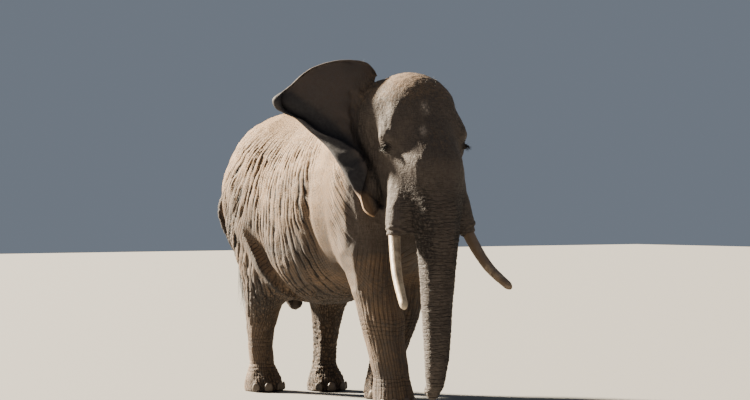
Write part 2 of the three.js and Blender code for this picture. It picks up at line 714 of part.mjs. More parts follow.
const hindMeshes = [];
for (const name of LEGS) {
  const set = nails(name);
  const whole = legMesh(name);
  const leg = subtract(
    intersect(whole, legRegion(name, GAP), floor),
    ...set.map(({ solid }) => swell(solid, SEAT)),
  );
  if (name.startsWith('hind')) hindMeshes.push(whole);
  elephant.add(node(`leg_${name}`, leg, 'skin'));
  for (const nail of set) elephant.add(node(nail.name, nail.solid, 'nail'));
}

const tailSolid = tail();
elephant.add(node('tail', tailSolid, 'skin'));
elephant.add(node('tail_tuft', tailTuft(tailSolid), 'hair'));
elephant.add(node('sheath', sheath(hindMeshes), 'skin'));

const headGroup = new THREE.Group();
headGroup.name = 'head_group';
headGroup.position.set(...HEAD_PIVOT);
headGroup.rotation.set(0, HEAD_ROLL, HEAD_YAW, 'ZYX');
const chin = boxBetween([-400, -900, -1000], [400, -170, -500]);
const jawMesh = intersect(meshForm(jawForm(), [-400, -800, -1000], [400, 300, -200], CELL.jaw), chin);
const tuskSolids = { right: tusk('right'), left: tusk('left') };
const trunkSolids = ['upper', 'middle', 'lower'].map((name, n) => (
  { name: `trunk_${name}`, solid: trunkLength(TRUNK_CUTS[n], TRUNK_CUTS[n + 1]) }
));
const jaw = seat(jawMesh, ...fleshThere, trunkMesh);
headGroup.add(node('head', head, 'skin'), node('lower_jaw', jaw, 'skin'));
for (const { name, solid } of trunkSolids) headGroup.add(node(name, solid, 'skin'));
for (const [side, s] of [['right', -1], ['left', 1]]) {
  headGroup.add(node(`tusk_${side}`, tuskSolids[side], 'ivory'));
  headGroup.add(node(`eye_${side}`, eyeBall(s), 'eye'));
  headGroup.add(node(`ear_${side}`, ear(side), 'skin_ear'));
}
elephant.add(headGroup);

// The frame's origin is under the middle of the whole, on the floor.
elephant.updateMatrixWorld(true);
const box = new THREE.Box3().setFromObject(elephant, true);
elephant.position.set(-(box.min.x + box.max.x) / 2, -(box.min.y + box.max.y) / 2, -box.min.z);

export default elephant;
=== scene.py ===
# %% [markdown]
# ## An elephant in its skin
# The solids of a life-size elephant give the true place of every part: trunk, ears, legs, tusks, nails.
# This lesson covers them with one skin, adds the folds that a plain solid lacks, and then makes the eyes,
# ivory, nails and hair. Everything is in metres, with the head towards -Y and the feet on the floor.

import json
from functools import reduce
from math import pi, radians

import bmesh
import bpy
import numpy as np
from mathutils import Matrix, Vector
from mathutils.bvhtree import BVHTree

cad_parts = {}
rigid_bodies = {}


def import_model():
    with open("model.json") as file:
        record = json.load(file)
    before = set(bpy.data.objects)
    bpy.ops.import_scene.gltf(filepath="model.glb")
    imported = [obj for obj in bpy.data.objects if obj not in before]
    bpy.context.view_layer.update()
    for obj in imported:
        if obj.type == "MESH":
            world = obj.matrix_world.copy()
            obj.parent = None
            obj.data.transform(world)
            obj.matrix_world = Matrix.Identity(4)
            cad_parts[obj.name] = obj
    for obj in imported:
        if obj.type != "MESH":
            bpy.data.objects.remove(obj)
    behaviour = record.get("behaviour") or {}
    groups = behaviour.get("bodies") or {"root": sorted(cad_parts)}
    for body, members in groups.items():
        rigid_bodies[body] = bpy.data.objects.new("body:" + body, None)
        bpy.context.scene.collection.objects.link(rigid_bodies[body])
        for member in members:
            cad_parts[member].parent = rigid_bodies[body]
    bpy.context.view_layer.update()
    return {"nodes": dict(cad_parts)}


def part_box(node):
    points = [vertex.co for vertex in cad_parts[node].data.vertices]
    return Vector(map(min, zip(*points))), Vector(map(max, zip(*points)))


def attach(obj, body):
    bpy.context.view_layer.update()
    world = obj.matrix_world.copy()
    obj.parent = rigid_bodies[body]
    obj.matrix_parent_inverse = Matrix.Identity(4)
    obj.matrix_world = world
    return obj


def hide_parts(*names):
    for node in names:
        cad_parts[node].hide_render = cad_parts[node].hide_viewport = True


for item in list(bpy.context.scene.objects):
    bpy.data.objects.remove(item)
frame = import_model()
nodes = frame["nodes"]

# %% [markdown]
# ## The camera
# The animal is seen from ahead and to its right, from a little above a standing person's head, through a
# long lens from far away. A long lens keeps the far legs nearly as large as the near ones.

# %% Camera
VIEW_TURN = radians(36)                      # how far round from straight ahead
CAMERA_AT = Vector((-12.898, -18.175, 2.05))
LENS = 102.24
camera = bpy.data.objects.new("camera", bpy.data.cameras.new("camera"))
camera.data.lens = LENS
camera.data.sensor_width = 36
camera.data.shift_y = 0.004
camera.location = CAMERA_AT
camera.rotation_euler = (radians(90), 0, -VIEW_TURN)
bpy.context.scene.collection.objects.link(camera)
bpy.context.scene.camera = camera
print("camera", [round(v, 2) for v in camera.location], "lens", LENS)

# %% [markdown]
# ## Small tools for meshes
# Much of the skin is shaped by arithmetic on all its points at once, so the points are read into an array,
# changed and written back. A ramp is the soft step used to say where a fold begins and ends.

# %% Soft steps
def ramp(start, end, x):
    """0 before start, 1 after end, and a soft step between."""
    t = np.clip((x - start) / (end - start), 0, 1)
    return t * t * (3 - 2 * t)


def hump(x, start, full, hold, end):
    """Rises from 0 at start to 1 at full, and falls again from hold to end."""
    return ramp(start, full, x) * (1 - ramp(hold, end, x))


def bell(x, width):
    """1 where x is 0, falling softly to nothing over about two widths."""
    return np.exp(-(x / width) ** 2)


print("a ramp's steps:", ramp(0, 1, np.linspace(0, 1, 5)).round(2))

# %% Points in and out
def points_of(mesh):
    flat = np.empty(len(mesh.vertices) * 3)
    mesh.vertices.foreach_get("co", flat)
    return flat.reshape(-1, 3)


def move_points(mesh, points):
    mesh.vertices.foreach_set("co", points.ravel())
    mesh.update()


def normals_of(mesh):
    flat = np.empty(len(mesh.vertices) * 3)
    mesh.vertex_normals.foreach_get("vector", flat)
    return flat.reshape(-1, 3)


def show(name, mesh):
    obj = bpy.data.objects.new(name, mesh)
    bpy.context.scene.collection.objects.link(obj)
    return obj


print("points in the solids:", sum(len(points_of(node.data)) for node in nodes.values()))

# %% Copies and modifiers
def merged_copy(names):
    """The named solids' triangles in one mesh, with shared points."""
    bm = bmesh.new()
    for name in names:
        bm.from_mesh(nodes[name].data)
    bmesh.ops.remove_doubles(bm, verts=bm.verts, dist=1e-5)
    mesh = bpy.data.meshes.new("copy")
    bm.to_mesh(mesh)
    bm.free()
    return mesh


def with_modifier(obj, kind, **settings):
    """Puts one modifier on obj and keeps its result as a plain mesh."""
    modifier = obj.modifiers.new("step", kind)
    for key, value in settings.items():
        setattr(modifier, key, value)
    bpy.context.view_layer.update()
    result = bpy.data.meshes.new_from_object(obj.evaluated_get(bpy.context.evaluated_depsgraph_get()))
    obj.modifiers.clear()
    obj.data = result
    return obj


print("faces in the solids:", sum(len(node.data.polygons) for node in nodes.values()))

# %% [markdown]
# ## Smoothing and measuring
# A sculptor's smoothing brush draws each point towards its neighbours. Done by arithmetic it works on the
# whole skin, or only where a weight allows it. Many forms are placed by their distance from another piece,
# so the distance to a mesh is needed as well.

# %% Smoothing
DRAW_IN, LET_OUT = 0.5, -0.53


def smooth(mesh, rounds, weight=None, draw_in=DRAW_IN, let_out=LET_OUT):
    """Evens out a mesh. Each round draws the points together and lets them out again, so its size stays."""
    edges = np.empty(len(mesh.edges) * 2, dtype=np.int64)
    mesh.edges.foreach_get("vertices", edges)
    a, b = edges[0::2], edges[1::2]
    count = len(mesh.vertices)
    near = np.maximum(np.bincount(np.concatenate((a, b)), minlength=count), 1)
    points = points_of(mesh)
    amount = np.ones(count) if weight is None else weight
    for _ in range(rounds):
        for factor in (draw_in, let_out):
            step = np.empty_like(points)
            for axis in range(3):
                total = np.bincount(a, points[b, axis], count) + np.bincount(b, points[a, axis], count)
                step[:, axis] = total / near - points[:, axis]
            points += factor * step * amount[:, None]
    move_points(mesh, points)


print("each round draws in by", DRAW_IN, "and lets out by", -LET_OUT)

# %% Distances
def distance_to(mesh, points, reach):
    """How far each point is from a mesh's surface, up to reach."""
    tree = BVHTree.FromPolygons([v.co for v in mesh.vertices], [list(f.vertices) for f in mesh.polygons])
    low, high = points_of(mesh).min(0) - reach, points_of(mesh).max(0) + reach
    found = np.full(len(points), float(reach))
    for i in np.nonzero(((points > low) & (points < high)).all(1))[0]:
        hit = tree.find_nearest(points[i], reach)
        if hit[3] is not None:
            found[i] = hit[3]
    return found


print("from the right tusk's middle to its surface:",
      distance_to(nodes["tusk_right"].data, points_of(nodes["tusk_right"].data).mean(0)[None], 1.0).round(3))

# %% [markdown]
# ## The body under the skin
# The torso, neck, head, trunk and legs are separate solids that meet on flat cuts. A voxel remesh turns
# them into one even surface and closes the cuts. The flat facets are then smoothed away. Sculpting by hand
# would also do this, but the remesh keeps every part where the solids put it.

# %% Body
FLESH = ["torso", "neck", "head", "lower_jaw", "trunk_upper", "trunk_middle", "trunk_lower", "leg_fore_right",
         "leg_fore_left", "leg_hind_left", "leg_hind_right", "sheath"]
VOXEL = 0.014
SMOOTH_ROUNDS = 80

skin = show("skin", merged_copy(FLESH))
with_modifier(skin, "REMESH", mode="VOXEL", voxel_size=VOXEL)
smooth(skin.data, SMOOTH_ROUNDS)
print("body:", len(skin.data.vertices), "points")

# %% [markdown]
# ## The head's own frame
# The head is turned a little to its right. Its parts are easier to describe with X to its left, Y to its
# back and Z up, measured from the point about which the head turns on the neck. The tail and the body's
# creases are measured from the middle of the body, on the floor.

# %% Head frame
HEAD_PIVOT = Vector((0.0356, -0.9399, 2.570))
HEAD_TURN = Matrix.Rotation(radians(-15), 4, "Z") @ Matrix.Rotation(radians(-1.5), 4, "Y")
HEAD_FRAME = np.array(Matrix.Translation(HEAD_PIVOT) @ HEAD_TURN)
BODY_MIDDLE = np.array((0.0756, 0.2101, 0.0))
MIDDLE_X = BODY_MIDDLE[0]                    # the body's middle plane


def from_head(points):
    return np.asarray(points) @ HEAD_FRAME[:3, :3].T + HEAD_FRAME[:3, 3]


def to_head(points):
    return (points - HEAD_FRAME[:3, 3]) @ HEAD_FRAME[:3, :3]


def head_way(direction):
    """A direction in the head's frame, as one of length 1 in the scene."""
    turned = np.asarray(direction, float) @ HEAD_FRAME[:3, :3].T
    return turned / np.linalg.norm(turned)


def across(path):
    """The same path on the other side of the head or body."""
    return [(-x, y, z) for x, y, z in path]


def from_body(path):
    return np.asarray(path) + BODY_MIDDLE


print("the head's forward way:", head_way((0, -1, 0)).round(2))

# %% [markdown]
# ## Finer mesh round the eyes and the trunk's tip
# Lids and the tip's two fingers are only millimetres thick, far less than the spacing of the skin's points.
# The faces near them are cut into smaller ones first, so that only these places pay for it.

# %% Fine places
EYE_REACH = 0.13
TIP_REACH = 0.15
TRUNK_END = (-0.073, -0.610, -2.430)         # the middle of the trunk's tip, in the head's frame


def centre_of(name):
    low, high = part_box(name)
    return np.array((low + high) / 2)


def cut_finer(mesh, places, cuts):
    """Cuts the faces within reach of each place into smaller ones."""
    bm = bmesh.new()
    bm.from_mesh(mesh)
    edges = [edge for edge in bm.edges
             if any((edge.verts[0].co - Vector(at)).length < reach for at, reach in places)]
    bmesh.ops.subdivide_edges(bm, edges=edges, cuts=cuts, use_grid_fill=True)
    bmesh.ops.triangulate(bm, faces=[f for f in bm.faces if len(f.verts) > 4])
    bm.to_mesh(mesh)
    bm.free()


eye_centre = {side: centre_of(f"eye_{side}") for side in ("right", "left")}
trunk_end = from_head(TRUNK_END)
cut_finer(skin.data, [(at, EYE_REACH) for at in eye_centre.values()], cuts=3)
cut_finer(skin.data, [(trunk_end, TIP_REACH)], cuts=1)
print("with eyes and tip:", len(skin.data.vertices), "points")

# %% [markdown]
# ## Pressing and raising
# Deep creases, such as the one behind the shoulder, run along a line. Each is pressed in along a path of a
# few points, as a thumb would press clay. Ridges, such as the brow, are raised the same way. Where the
# belly hangs over the thigh the fold is far deeper, so it has a tool of its own, with a lip that swells at
# its edge.

# %% Press tool
def beside(points, path):
    """How far each point is from a path of straight pieces, and how far along it, from 0 to 1."""
    nearest, along = np.full(len(points), 9.0), np.zeros(len(points))
    for i, (a, b) in enumerate(zip(np.array(path[:-1], float), np.array(path[1:], float))):
        t = np.clip((points - a) @ (b - a) / np.dot(b - a, b - a), 0, 1)
        away = np.linalg.norm(points - (a + t[:, None] * (b - a)), axis=1)
        along = np.where(away < nearest, (i + t) / (len(path) - 1), along)
        nearest = np.minimum(nearest, away)
    return nearest, along


def path_distance(points, path):
    return beside(points, path)[0]


def side_distance(points, path):
    """How far each point is from a path, both seen from the side."""
    return path_distance(points[:, 1:], np.array(path)[:, 1:])


def press(points, normals, path, width, depth):
    """Pushes the skin in along a path, fading over width and at both ends. A negative depth raises it."""
    away, along = beside(points, path)
    return points - normals * (depth * bell(away, width) * hump(along, -0.1, 0.3, 0.7, 1.1))[:, None]


print("beside a path, and along it:", *beside(np.array([[0, 1, 0]]), [(-1, 0, 0), (1, 0, 0)]))

# %% Belly fold tool
FOLD_DEEP, FOLD_FADE = 0.130, 0.20           # how far the thigh sinks behind the fold, and over how much
FOLD_EDGE = 0.028                            # over how much the skin turns in at the fold
FOLD_LIP, LIP_AT, LIP_WIDE = 0.012, 0.035, 0.045    # the swelling's height, place before the edge, and width


def overhang(points, path):
    """Sinks the skin behind a hanging edge, seen from the side, and swells it a little before the edge."""
    flat, line = points[:, 1:], np.array(path)[:, 1:]
    away, along = beside(flat, line)
    piece = np.minimum((along * (len(line) - 1)).astype(int), len(line) - 2)
    way, reach = line[piece + 1] - line[piece], flat - line[piece]
    behind = np.sign(way[:, 1] * reach[:, 0] - way[:, 0] * reach[:, 1]) * away
    grows = ramp(-0.05, 0.45, along)
    sunk = FOLD_DEEP * ramp(0, FOLD_EDGE, behind) * bell(np.maximum(behind, 0), FOLD_FADE) * grows
    swollen = FOLD_LIP * bell(behind + LIP_AT, LIP_WIDE) * (behind < FOLD_EDGE) * grows
    sideways = points[:, 0] - MIDDLE_X
    on_flank = ramp(0.10, 0.25, np.abs(sideways)) * ramp(0.85, 1.10, points[:, 2])
    moved = points.copy()
    moved[:, 0] += np.sign(sideways) * (swollen - sunk) * on_flank
    return moved


print("belly fold:", FOLD_DEEP, "m deep")

# %% Creases and ridges
BELLY_FOLD = [(-0.72, 0.93, 1.78), (-0.716, 0.85, 1.655), (-0.696, 0.78, 1.55), (-0.686, 0.685, 1.44),
              (-0.646, 0.59, 1.305), (-0.53, 0.54, 1.17), (-0.40, 0.53, 1.04)]
SHOULDER_BACK = [(-0.58, -0.18, 2.50), (-0.67, -0.26, 2.18), (-0.68, -0.28, 1.93), (-0.61, -0.32, 1.60),
                 (-0.50, -0.42, 1.38)]
SHOULDER_RIDGE = [(-0.60, -0.50, 2.60), (-0.68, -0.56, 2.15), (-0.68, -0.62, 1.75), (-0.60, -0.72, 1.40)]
SHOULDER_FRONT = [(-0.66, -0.90, 2.30), (-0.64, -1.00, 1.95), (-0.58, -1.10, 1.60)]
BACKBONE = [(0, -0.5, 3.1), (0, 0.4, 3.0), (0, 1.1, 3.02), (0, 1.6, 2.8)]
CHEEK_EDGE = [(-0.47, -0.12, 0.5), (-0.5, -0.14, 0.2), (-0.46, -0.24, 0.0), (-0.4, -0.32, -0.2)]
BROW = [(-0.36, -0.60, 0.10), (-0.42, -0.50, 0.17), (-0.47, -0.36, 0.13)]
TEMPLE = [(-0.40, -0.34, 0.36), (-0.36, -0.42, 0.48)]
CHEEK_HOLLOW = [(-0.36, -0.42, -0.14), (-0.36, -0.40, -0.3)]
MOUTH = [(-0.25, -0.30, -0.63), (-0.19, -0.44, -0.71), (-0.10, -0.55, -0.75)]
BODY_CREASES = [(SHOULDER_BACK, 0.05, 0.03), (SHOULDER_RIDGE, 0.11, -0.014), (SHOULDER_FRONT, 0.05, 0.018),
                (BACKBONE, 0.05, -0.010)]
HEAD_CREASES = [(CHEEK_EDGE, 0.05, -0.02), (BROW, 0.045, -0.018), (TEMPLE, 0.09, 0.02),
                (CHEEK_HOLLOW, 0.08, 0.018), (MOUTH, 0.020, 0.030)]    # each with its width and its depth

body = skin.data
p, n = points_of(body), normals_of(body)
for mirror in (list, across):
    for path, width, depth in BODY_CREASES:
        p = press(p, n, from_body(mirror(path)), width, depth)
    for path, width, depth in HEAD_CREASES:
        p = press(p, n, from_head(mirror(path)), width, depth)
p = overhang(p, from_body(BELLY_FOLD))
move_points(body, p)
near_fold = (1 - ramp(0.04, 0.10, side_distance(p, from_body(BELLY_FOLD)))) * (p[:, 2] > 0.95)
smooth(body, 10, near_fold, let_out=-0.2)
print("pressed:", 2 * len(BODY_CREASES + HEAD_CREASES), "creases and ridges")

# %% [markdown]
# ## The tip of the trunk
# An African elephant's trunk ends in two nostrils between an upper and a lower finger. The tip is measured
# across, from finger to finger, and outwards. The nostrils are sunk, and notches at both sides leave the
# fingers standing.

# %% Trunk tip
TIP_OUT = head_way((-0.03, 0.62, -0.79))
TIP_ACROSS = head_way((1, 0, 0))
TIP_RISE = np.cross(TIP_OUT, TIP_ACROSS)     # towards the upper finger
NOSTRIL_APART, NOSTRIL_WIDE, NOSTRIL_TALL, NOSTRIL_DEEP = 0.026, 0.017, 0.024, 0.045
NOTCH_TALL, NOTCH_DEEP = 0.020, 0.022
FINGER_AT, FINGER_WIDE, FINGER_THICK, FINGER_LONG = 0.062, 0.032, 0.020, 0.016
LOWER_FINGER = 0.7                           # the lower finger's length beside the upper one's


def shape_tip(points):
    away = points - trunk_end
    a, b, h = away @ TIP_ACROSS, away @ TIP_RISE, away @ TIP_OUT
    near = (1 - ramp(0.10, 0.13, np.linalg.norm(away, axis=1))) * ramp(-0.05, 0.0, h)
    nostrils = bell(np.abs(a) - NOSTRIL_APART, NOSTRIL_WIDE) * bell(b, NOSTRIL_TALL)
    notches = bell(b, NOTCH_TALL) * ramp(0.035, 0.06, np.abs(a))
    fingers = bell(b - FINGER_AT, FINGER_THICK) + LOWER_FINGER * bell(b + FINGER_AT, FINGER_THICK)
    fingers *= bell(a, FINGER_WIDE)
    out = FINGER_LONG * fingers - NOSTRIL_DEEP * nostrils - NOTCH_DEEP * notches
    return points + TIP_OUT * (out * near)[:, None]


move_points(body, shape_tip(points_of(body)))
print("tip at", np.round(trunk_end, 3))

# %% [markdown]
# ## Lids
# An elephant's eye is small, and its heavy lids follow the eyeball like a hood with a slit. Near each eye
# the skin is lifted over a slightly larger ball, and inside an almond shape it is sunk below the eyeball.
# Creases above and below follow the lids.

# %% Where the eyes look
LID_TILT = radians(-24)                      # the inner corner is the lower one
SLIT_HALF = 0.037                            # half the slit's length
SLIT_OPEN = 0.0125                           # half its height in the middle


def outwards_at(mesh, place):
    """The skin's mean direction round a place."""
    near = np.linalg.norm(points_of(mesh) - place, axis=1) < 0.075
    mean = normals_of(mesh)[near].mean(0)
    return mean / np.linalg.norm(mean)


eye_out = {side: outwards_at(body, at) for side, at in eye_centre.items()}


def eye_axes(side):
    """Three directions at an eye: forward along the slit, up across it, and outwards."""
    out = eye_out[side]
    up = HEAD_FRAME[:3, 2] - out * np.dot(HEAD_FRAME[:3, 2], out)
    up /= np.linalg.norm(up)
    forward = np.cross(up, out)
    forward *= np.sign(-np.dot(forward, HEAD_FRAME[:3, 1]))
    cos, sin = np.cos(LID_TILT), np.sin(LID_TILT)
    return forward * cos + up * sin, up * cos - forward * sin, out


def eye_places(points, side):
    """Each point's place at an eye: along the slit, across it and outwards."""
    away = points - eye_centre[side]
    return [away @ axis for axis in eye_axes(side)]


def slit_edge(s, t):
    """0 in the middle of the slit, 1 at the edges of the lids."""
    half_open = SLIT_OPEN * np.maximum(1 - (s / SLIT_HALF) ** 2, 0)
    return np.abs(t + 0.002) / np.maximum(half_open, 1e-4)


print("eyes look towards", {side: np.round(way, 2).tolist() for side, way in eye_out.items()})

# %% Lids
LID_BALL = 0.0330                            # the radius of the ball that the lids lie on
LID_REACH = 0.105                            # how far round the eye the skin is changed
LID_SOFT = 0.006                             # how softly the lid meets the skin round it
RIM_HIGH = 0.0035
BEHIND_LIDS = 0.004                          # inside the slit the skin lies this far out, below the eyeball
LID_CREASE_WIDE = 0.0055
LID_CREASES = [(0.027, 7.0, 0.007), (0.042, 5.0, 0.009), (-0.025, -7.0, 0.006), (-0.038, -5.0, 0.007),
               (-0.054, -3.5, 0.005), (0.060, 3.5, 0.006)]    # height, bend and depth of each


def shape_lids(points, side):
    s, t, h = eye_places(points, side)
    r = np.sqrt(s * s + t * t)
    near = (1 - ramp(LID_REACH - 0.035, LID_REACH, r)) * (h > -0.08)
    dome = np.sqrt(np.maximum(LID_BALL ** 2 - r * r, 0)) - 0.06 * ramp(LID_BALL * 0.9, LID_BALL * 2.2, r)
    meeting = LID_SOFT * 0.6 * np.exp(-np.abs(h - dome) / LID_SOFT) * (1 - ramp(0.05, 0.07, r))
    lifted = np.maximum(h, dome) + meeting
    edge = slit_edge(s, t)
    inside = (1 - ramp(0.85, 1.25, edge)) * (np.abs(s) < SLIT_HALF)
    rim = bell(edge - 1.5, 0.35) * (np.abs(s) < SLIT_HALF * 0.95) * RIM_HIGH
    lifted = lifted * (1 - inside) + BEHIND_LIDS * inside + rim
    for height, bend, depth in LID_CREASES:
        line = t - height + bend * s * s
        lifted -= depth * bell(line, LID_CREASE_WIDE) * (1 - ramp(0.045, 0.09, np.abs(s)))
    return points + eye_axes(side)[2] * ((lifted - h) * near)[:, None]


p = points_of(body)
for side in ("right", "left"):
    p = shape_lids(p, side)
move_points(body, p)
print("lids:", len(LID_CREASES), "creases round each eye")

# %% [markdown]
# ## Ears
# An elephant's ear is a broad sheet, a few centimetres thick at its root and thin at the rim, with a rolled
# upper edge. Each is rebuilt here from its root line and its rim line, with far more points than its solid
# has, as a closed shell that reaches into the head. Its own shape can then carry the folds and the curled
# tip.

# %% Curves
def curve_through(knots):
    """A smooth curve through the knots: a function from 0 to 1 to points, spaced by the knots' distances."""
    knots = np.array(knots, float)
    first, last = 2 * knots[0] - knots[1], 2 * knots[-1] - knots[-2]
    all_knots = np.vstack((first, knots, last))
    times = np.concatenate(([0], np.cumsum(np.linalg.norm(np.diff(all_knots, axis=0), axis=1) ** 0.5)))

    def at(u):
        u = np.clip(np.asarray(u, float), 0, 1) * (len(knots) - 1)
        i = np.minimum(u.astype(int), len(knots) - 2) + 1
        t0, t1, t2, t3 = (times[i + k - 1][..., None] for k in range(4))
        p0, p1, p2, p3 = (all_knots[i + k - 1] for k in range(4))
        t = t1 + (t2 - t1) * (u - (i - 1))[..., None]
        a1 = ((t1 - t) * p0 + (t - t0) * p1) / (t1 - t0)
        a2 = ((t2 - t) * p1 + (t - t1) * p2) / (t2 - t1)
        a3 = ((t3 - t) * p2 + (t - t2) * p3) / (t3 - t2)
        b1 = ((t2 - t) * a1 + (t - t0) * a2) / (t2 - t0)
        b2 = ((t3 - t) * a2 + (t - t1) * a3) / (t3 - t1)
        return ((t2 - t) * b1 + (t - t1) * b2) / (t2 - t1)

    return at


print("half way round a corner:", curve_through([(0, 0, 0), (1, 0, 0), (1, 1, 0)])(0.5))

# %% Sheets
def clean_mesh(name, points, faces):
    """A mesh with its doubles merged and its faces turned outwards."""
    mesh = bpy.data.meshes.new(name)
    mesh.from_pydata(np.asarray(points).tolist(), [], faces)
    bm = bmesh.new()
    bm.from_mesh(mesh)
    bmesh.ops.delete(bm, geom=[v for v in bm.verts if not v.link_faces], context="VERTS")
    bmesh.ops.remove_doubles(bm, verts=bm.verts, dist=1e-5)
    bmesh.ops.recalc_face_normals(bm, faces=bm.faces)
    bm.to_mesh(mesh)
    bm.free()
    return mesh


def shell(name, middle, thick):
    """A closed sheet from a grid of middle points and thicknesses, which fall to nothing at every edge."""
    out = np.cross(np.gradient(middle, axis=0), np.gradient(middle, axis=1))
    out /= np.maximum(np.linalg.norm(out, axis=2, keepdims=True), 1e-9)
    nu, nv = thick.shape
    edge = np.zeros((nu, nv), bool)
    edge[0], edge[-1], edge[:, 0], edge[:, -1] = True, True, True, True
    thick = np.where(edge, 0, thick)
    sides = np.concatenate(((middle + out * thick[..., None] / 2).reshape(-1, 3),
                            (middle - out * thick[..., None] / 2).reshape(-1, 3)))
    front = np.arange(nu * nv).reshape(nu, nv)
    back = np.where(edge, front, front + nu * nv)
    faces = []
    for grid, turn in ((front, 1), (back, -1)):
        quads = np.stack((grid[:-1, :-1], grid[1:, :-1], grid[1:, 1:], grid[:-1, 1:]), -1).reshape(-1, 4)
        faces.extend(quads[:, ::turn].tolist())
    return clean_mesh(name, sides, faces)


print("sheet tools:", [tool.__name__ for tool in (clean_mesh, shell)])

# %% Ear lines
EAR_ROOT = [(-0.325, 0.03, 0.68), (-0.445, 0.015, 0.42), (-0.475, -0.015, 0.12), (-0.4, -0.08, -0.14),
            (-0.335, -0.13, -0.33)]
RIGHT_RIM = [(-0.275, 0.08, 0.805), (-0.415, 0.115, 0.897), (-0.69, 0.21, 0.915), (-0.905, 0.32, 0.845),
             (-1.06, 0.412, 0.707), (-1.195, 0.498, 0.548), (-1.13, 0.482, 0.455), (-1.01, 0.405, 0.36),
             (-0.872, 0.295, 0.192), (-0.765, 0.148, 0.035), (-0.7, 0.02, -0.125), (-0.65, -0.08, -0.27),
             (-0.586, -0.13, -0.44), (-0.543, -0.13, -0.59), (-0.456, -0.12, -0.66), (-0.375, -0.1, -0.54)]
LEFT_RIM = [(0.37, 0.13, 0.64), (0.52, 0.35, 0.65), (0.64, 0.62, 0.62), (0.705, 0.88, 0.5), (0.725, 1, 0.26),
            (0.745, 0.95, -0.05), (0.78, 0.78, -0.39), (0.775, 0.52, -0.64), (0.64, 0.27, -0.83),
            (0.5, 0.06, -0.88), (0.39, -0.09, -0.64)]
print("points at the root and round each rim:", len(EAR_ROOT), len(RIGHT_RIM), len(LEFT_RIM))

# %% The turned-over edge
EAR_THICK = 0.050
RIM_THICK = 0.014
CORNER = 0.055                               # the upper inner corner is rounded over this part of the rim
TURN_AT = 0.72                               # how far out along the sheet it turns over
RIM_RADIUS, SCROLL_RADIUS, FOLD_RADIUS = 0.012, 0.045, 0.030
RIM_TURN, SCROLL_TURN = pi * 0.9, 4.6        # how far round the rim and the scroll at the tip go
LOBE_FROM = -0.38                            # below this the ear is an open lobe, flared forward


def waves(u, height, pace, start=0.0):
    """Waves along the rim."""
    return height * np.sin(u * pace + start)[:, None, None]


def turned_over(u, folded):
    """At each place along the rim: the turn's radius, how far round it goes, and the flat length after it."""
    tip = hump(u, 0.29, 0.335, 0.36, 0.45) * folded
    fold = ramp(0.33, 0.42, u) * (1 - ramp(0.74, 0.82, u)) * folded
    radius = RIM_RADIUS + (SCROLL_RADIUS - RIM_RADIUS) * tip + (FOLD_RADIUS - RIM_RADIUS) * fold * (1 - tip)
    turn = RIM_TURN + (SCROLL_TURN - RIM_TURN) * tip
    flat = fold * (1 - 0.9 * tip) * (0.09 + 0.13 * ramp(0.40, 0.66, u))
    return radius[:, None, None], turn[:, None, None], flat[:, None, None]


print("the flap, half way along the rim:", turned_over(np.array([0.5]), 1.0)[2].round(3).ravel(), "m wide")

# %% Ears
def ear_middle(root, rim, camber, folded, side, nu, nv):
    """The middle of an ear's sheet, in the head's frame: from the root, over a turn, and back over itself."""
    root_at, rim_at = curve_through(root), curve_through(rim)
    u = np.linspace(0, 1, nu)
    inner, outer = root_at(u)[:, None], rim_at(u)[:, None]
    outer = outer + (inner - outer) * (0.5 * np.maximum(1 - u / CORNER, 0) ** 2)[:, None, None]
    along = (rim_at(np.clip(u + 0.002, 0, 1)) - rim_at(np.clip(u - 0.002, 0, 1)))[:, None]
    inward = inner - outer
    span = np.linalg.norm(inward, axis=2, keepdims=True)
    inward = inward / span
    out = np.cross(inward, along)
    out *= side / np.linalg.norm(out, axis=2, keepdims=True)
    radius, turn, flat = turned_over(u, folded)
    v = np.linspace(0, 1, nv)[None, :, None]
    t = np.clip(v / TURN_AT, 0, 1)
    bulge = np.sin(pi * t) * camber * span - np.sin(2 * pi * t) * 0.02 * span
    ripple = waves(u, 0.007, 23.0) * t ** 3 + waves(u, 0.005, 61.0, 1.0) * t ** 4
    ripple = ripple + waves(u, 0.010, 47.0) * np.sin(pi * np.clip(t * 2.5, 0, 1))
    sheet = inner + (outer - inner) * t + out * (bulge + ripple)
    walked = np.clip((v - TURN_AT) / (1 - TURN_AT), 0, 1) * (turn * radius + flat + 0.001)
    angle = np.minimum(turn, walked / radius)
    past = np.maximum(0, walked - turn * radius)
    wave = waves(u, 0.006, 90.0) * np.clip(past / 0.12, 0, 1)
    edge = outer + out * ripple[:, -1:]
    over = edge + out * radius * (1 - np.cos(angle)) - inward * radius * np.sin(angle)
    over = over + (out * np.sin(angle) - inward * np.cos(angle)) * past + out * wave
    return np.where(v <= TURN_AT, sheet, over)


def flare_lobe(middle):
    """Bends the lobe forward and waves its edge."""
    down = np.maximum(LOBE_FROM - middle[..., 2], 0)
    wave = np.sin(middle[..., 0] * 60 + middle[..., 2] * 25) * 0.012 * ramp(0.0, 0.15, down)
    return middle + np.stack((-0.25 * down, -0.75 * down + wave, 0.12 * down), -1)


def ear_mesh(name, root, rim, camber, folded, side, nu, nv):
    """An ear with nu points along its rim and nv outwards from its root. camber makes its sheet bulge."""
    middle = ear_middle(root, rim, camber, folded, side, nu, nv)
    if folded:
        middle = flare_lobe(middle)
    v = np.linspace(0, 1, nv)[None, :]
    u = np.linspace(0, 1, nu)[:, None]
    thick = RIM_THICK + (EAR_THICK - RIM_THICK) * (1 - ramp(0, 0.6, v))
    inside = ramp(0, 0.02, u) * ramp(0, 0.02, 1 - u) * ramp(0, 0.04, 1 - v) * ramp(0, 0.02, v)
    return shell(name, from_head(middle.reshape(-1, 3)).reshape(middle.shape), thick * np.sqrt(inside + 1e-6))


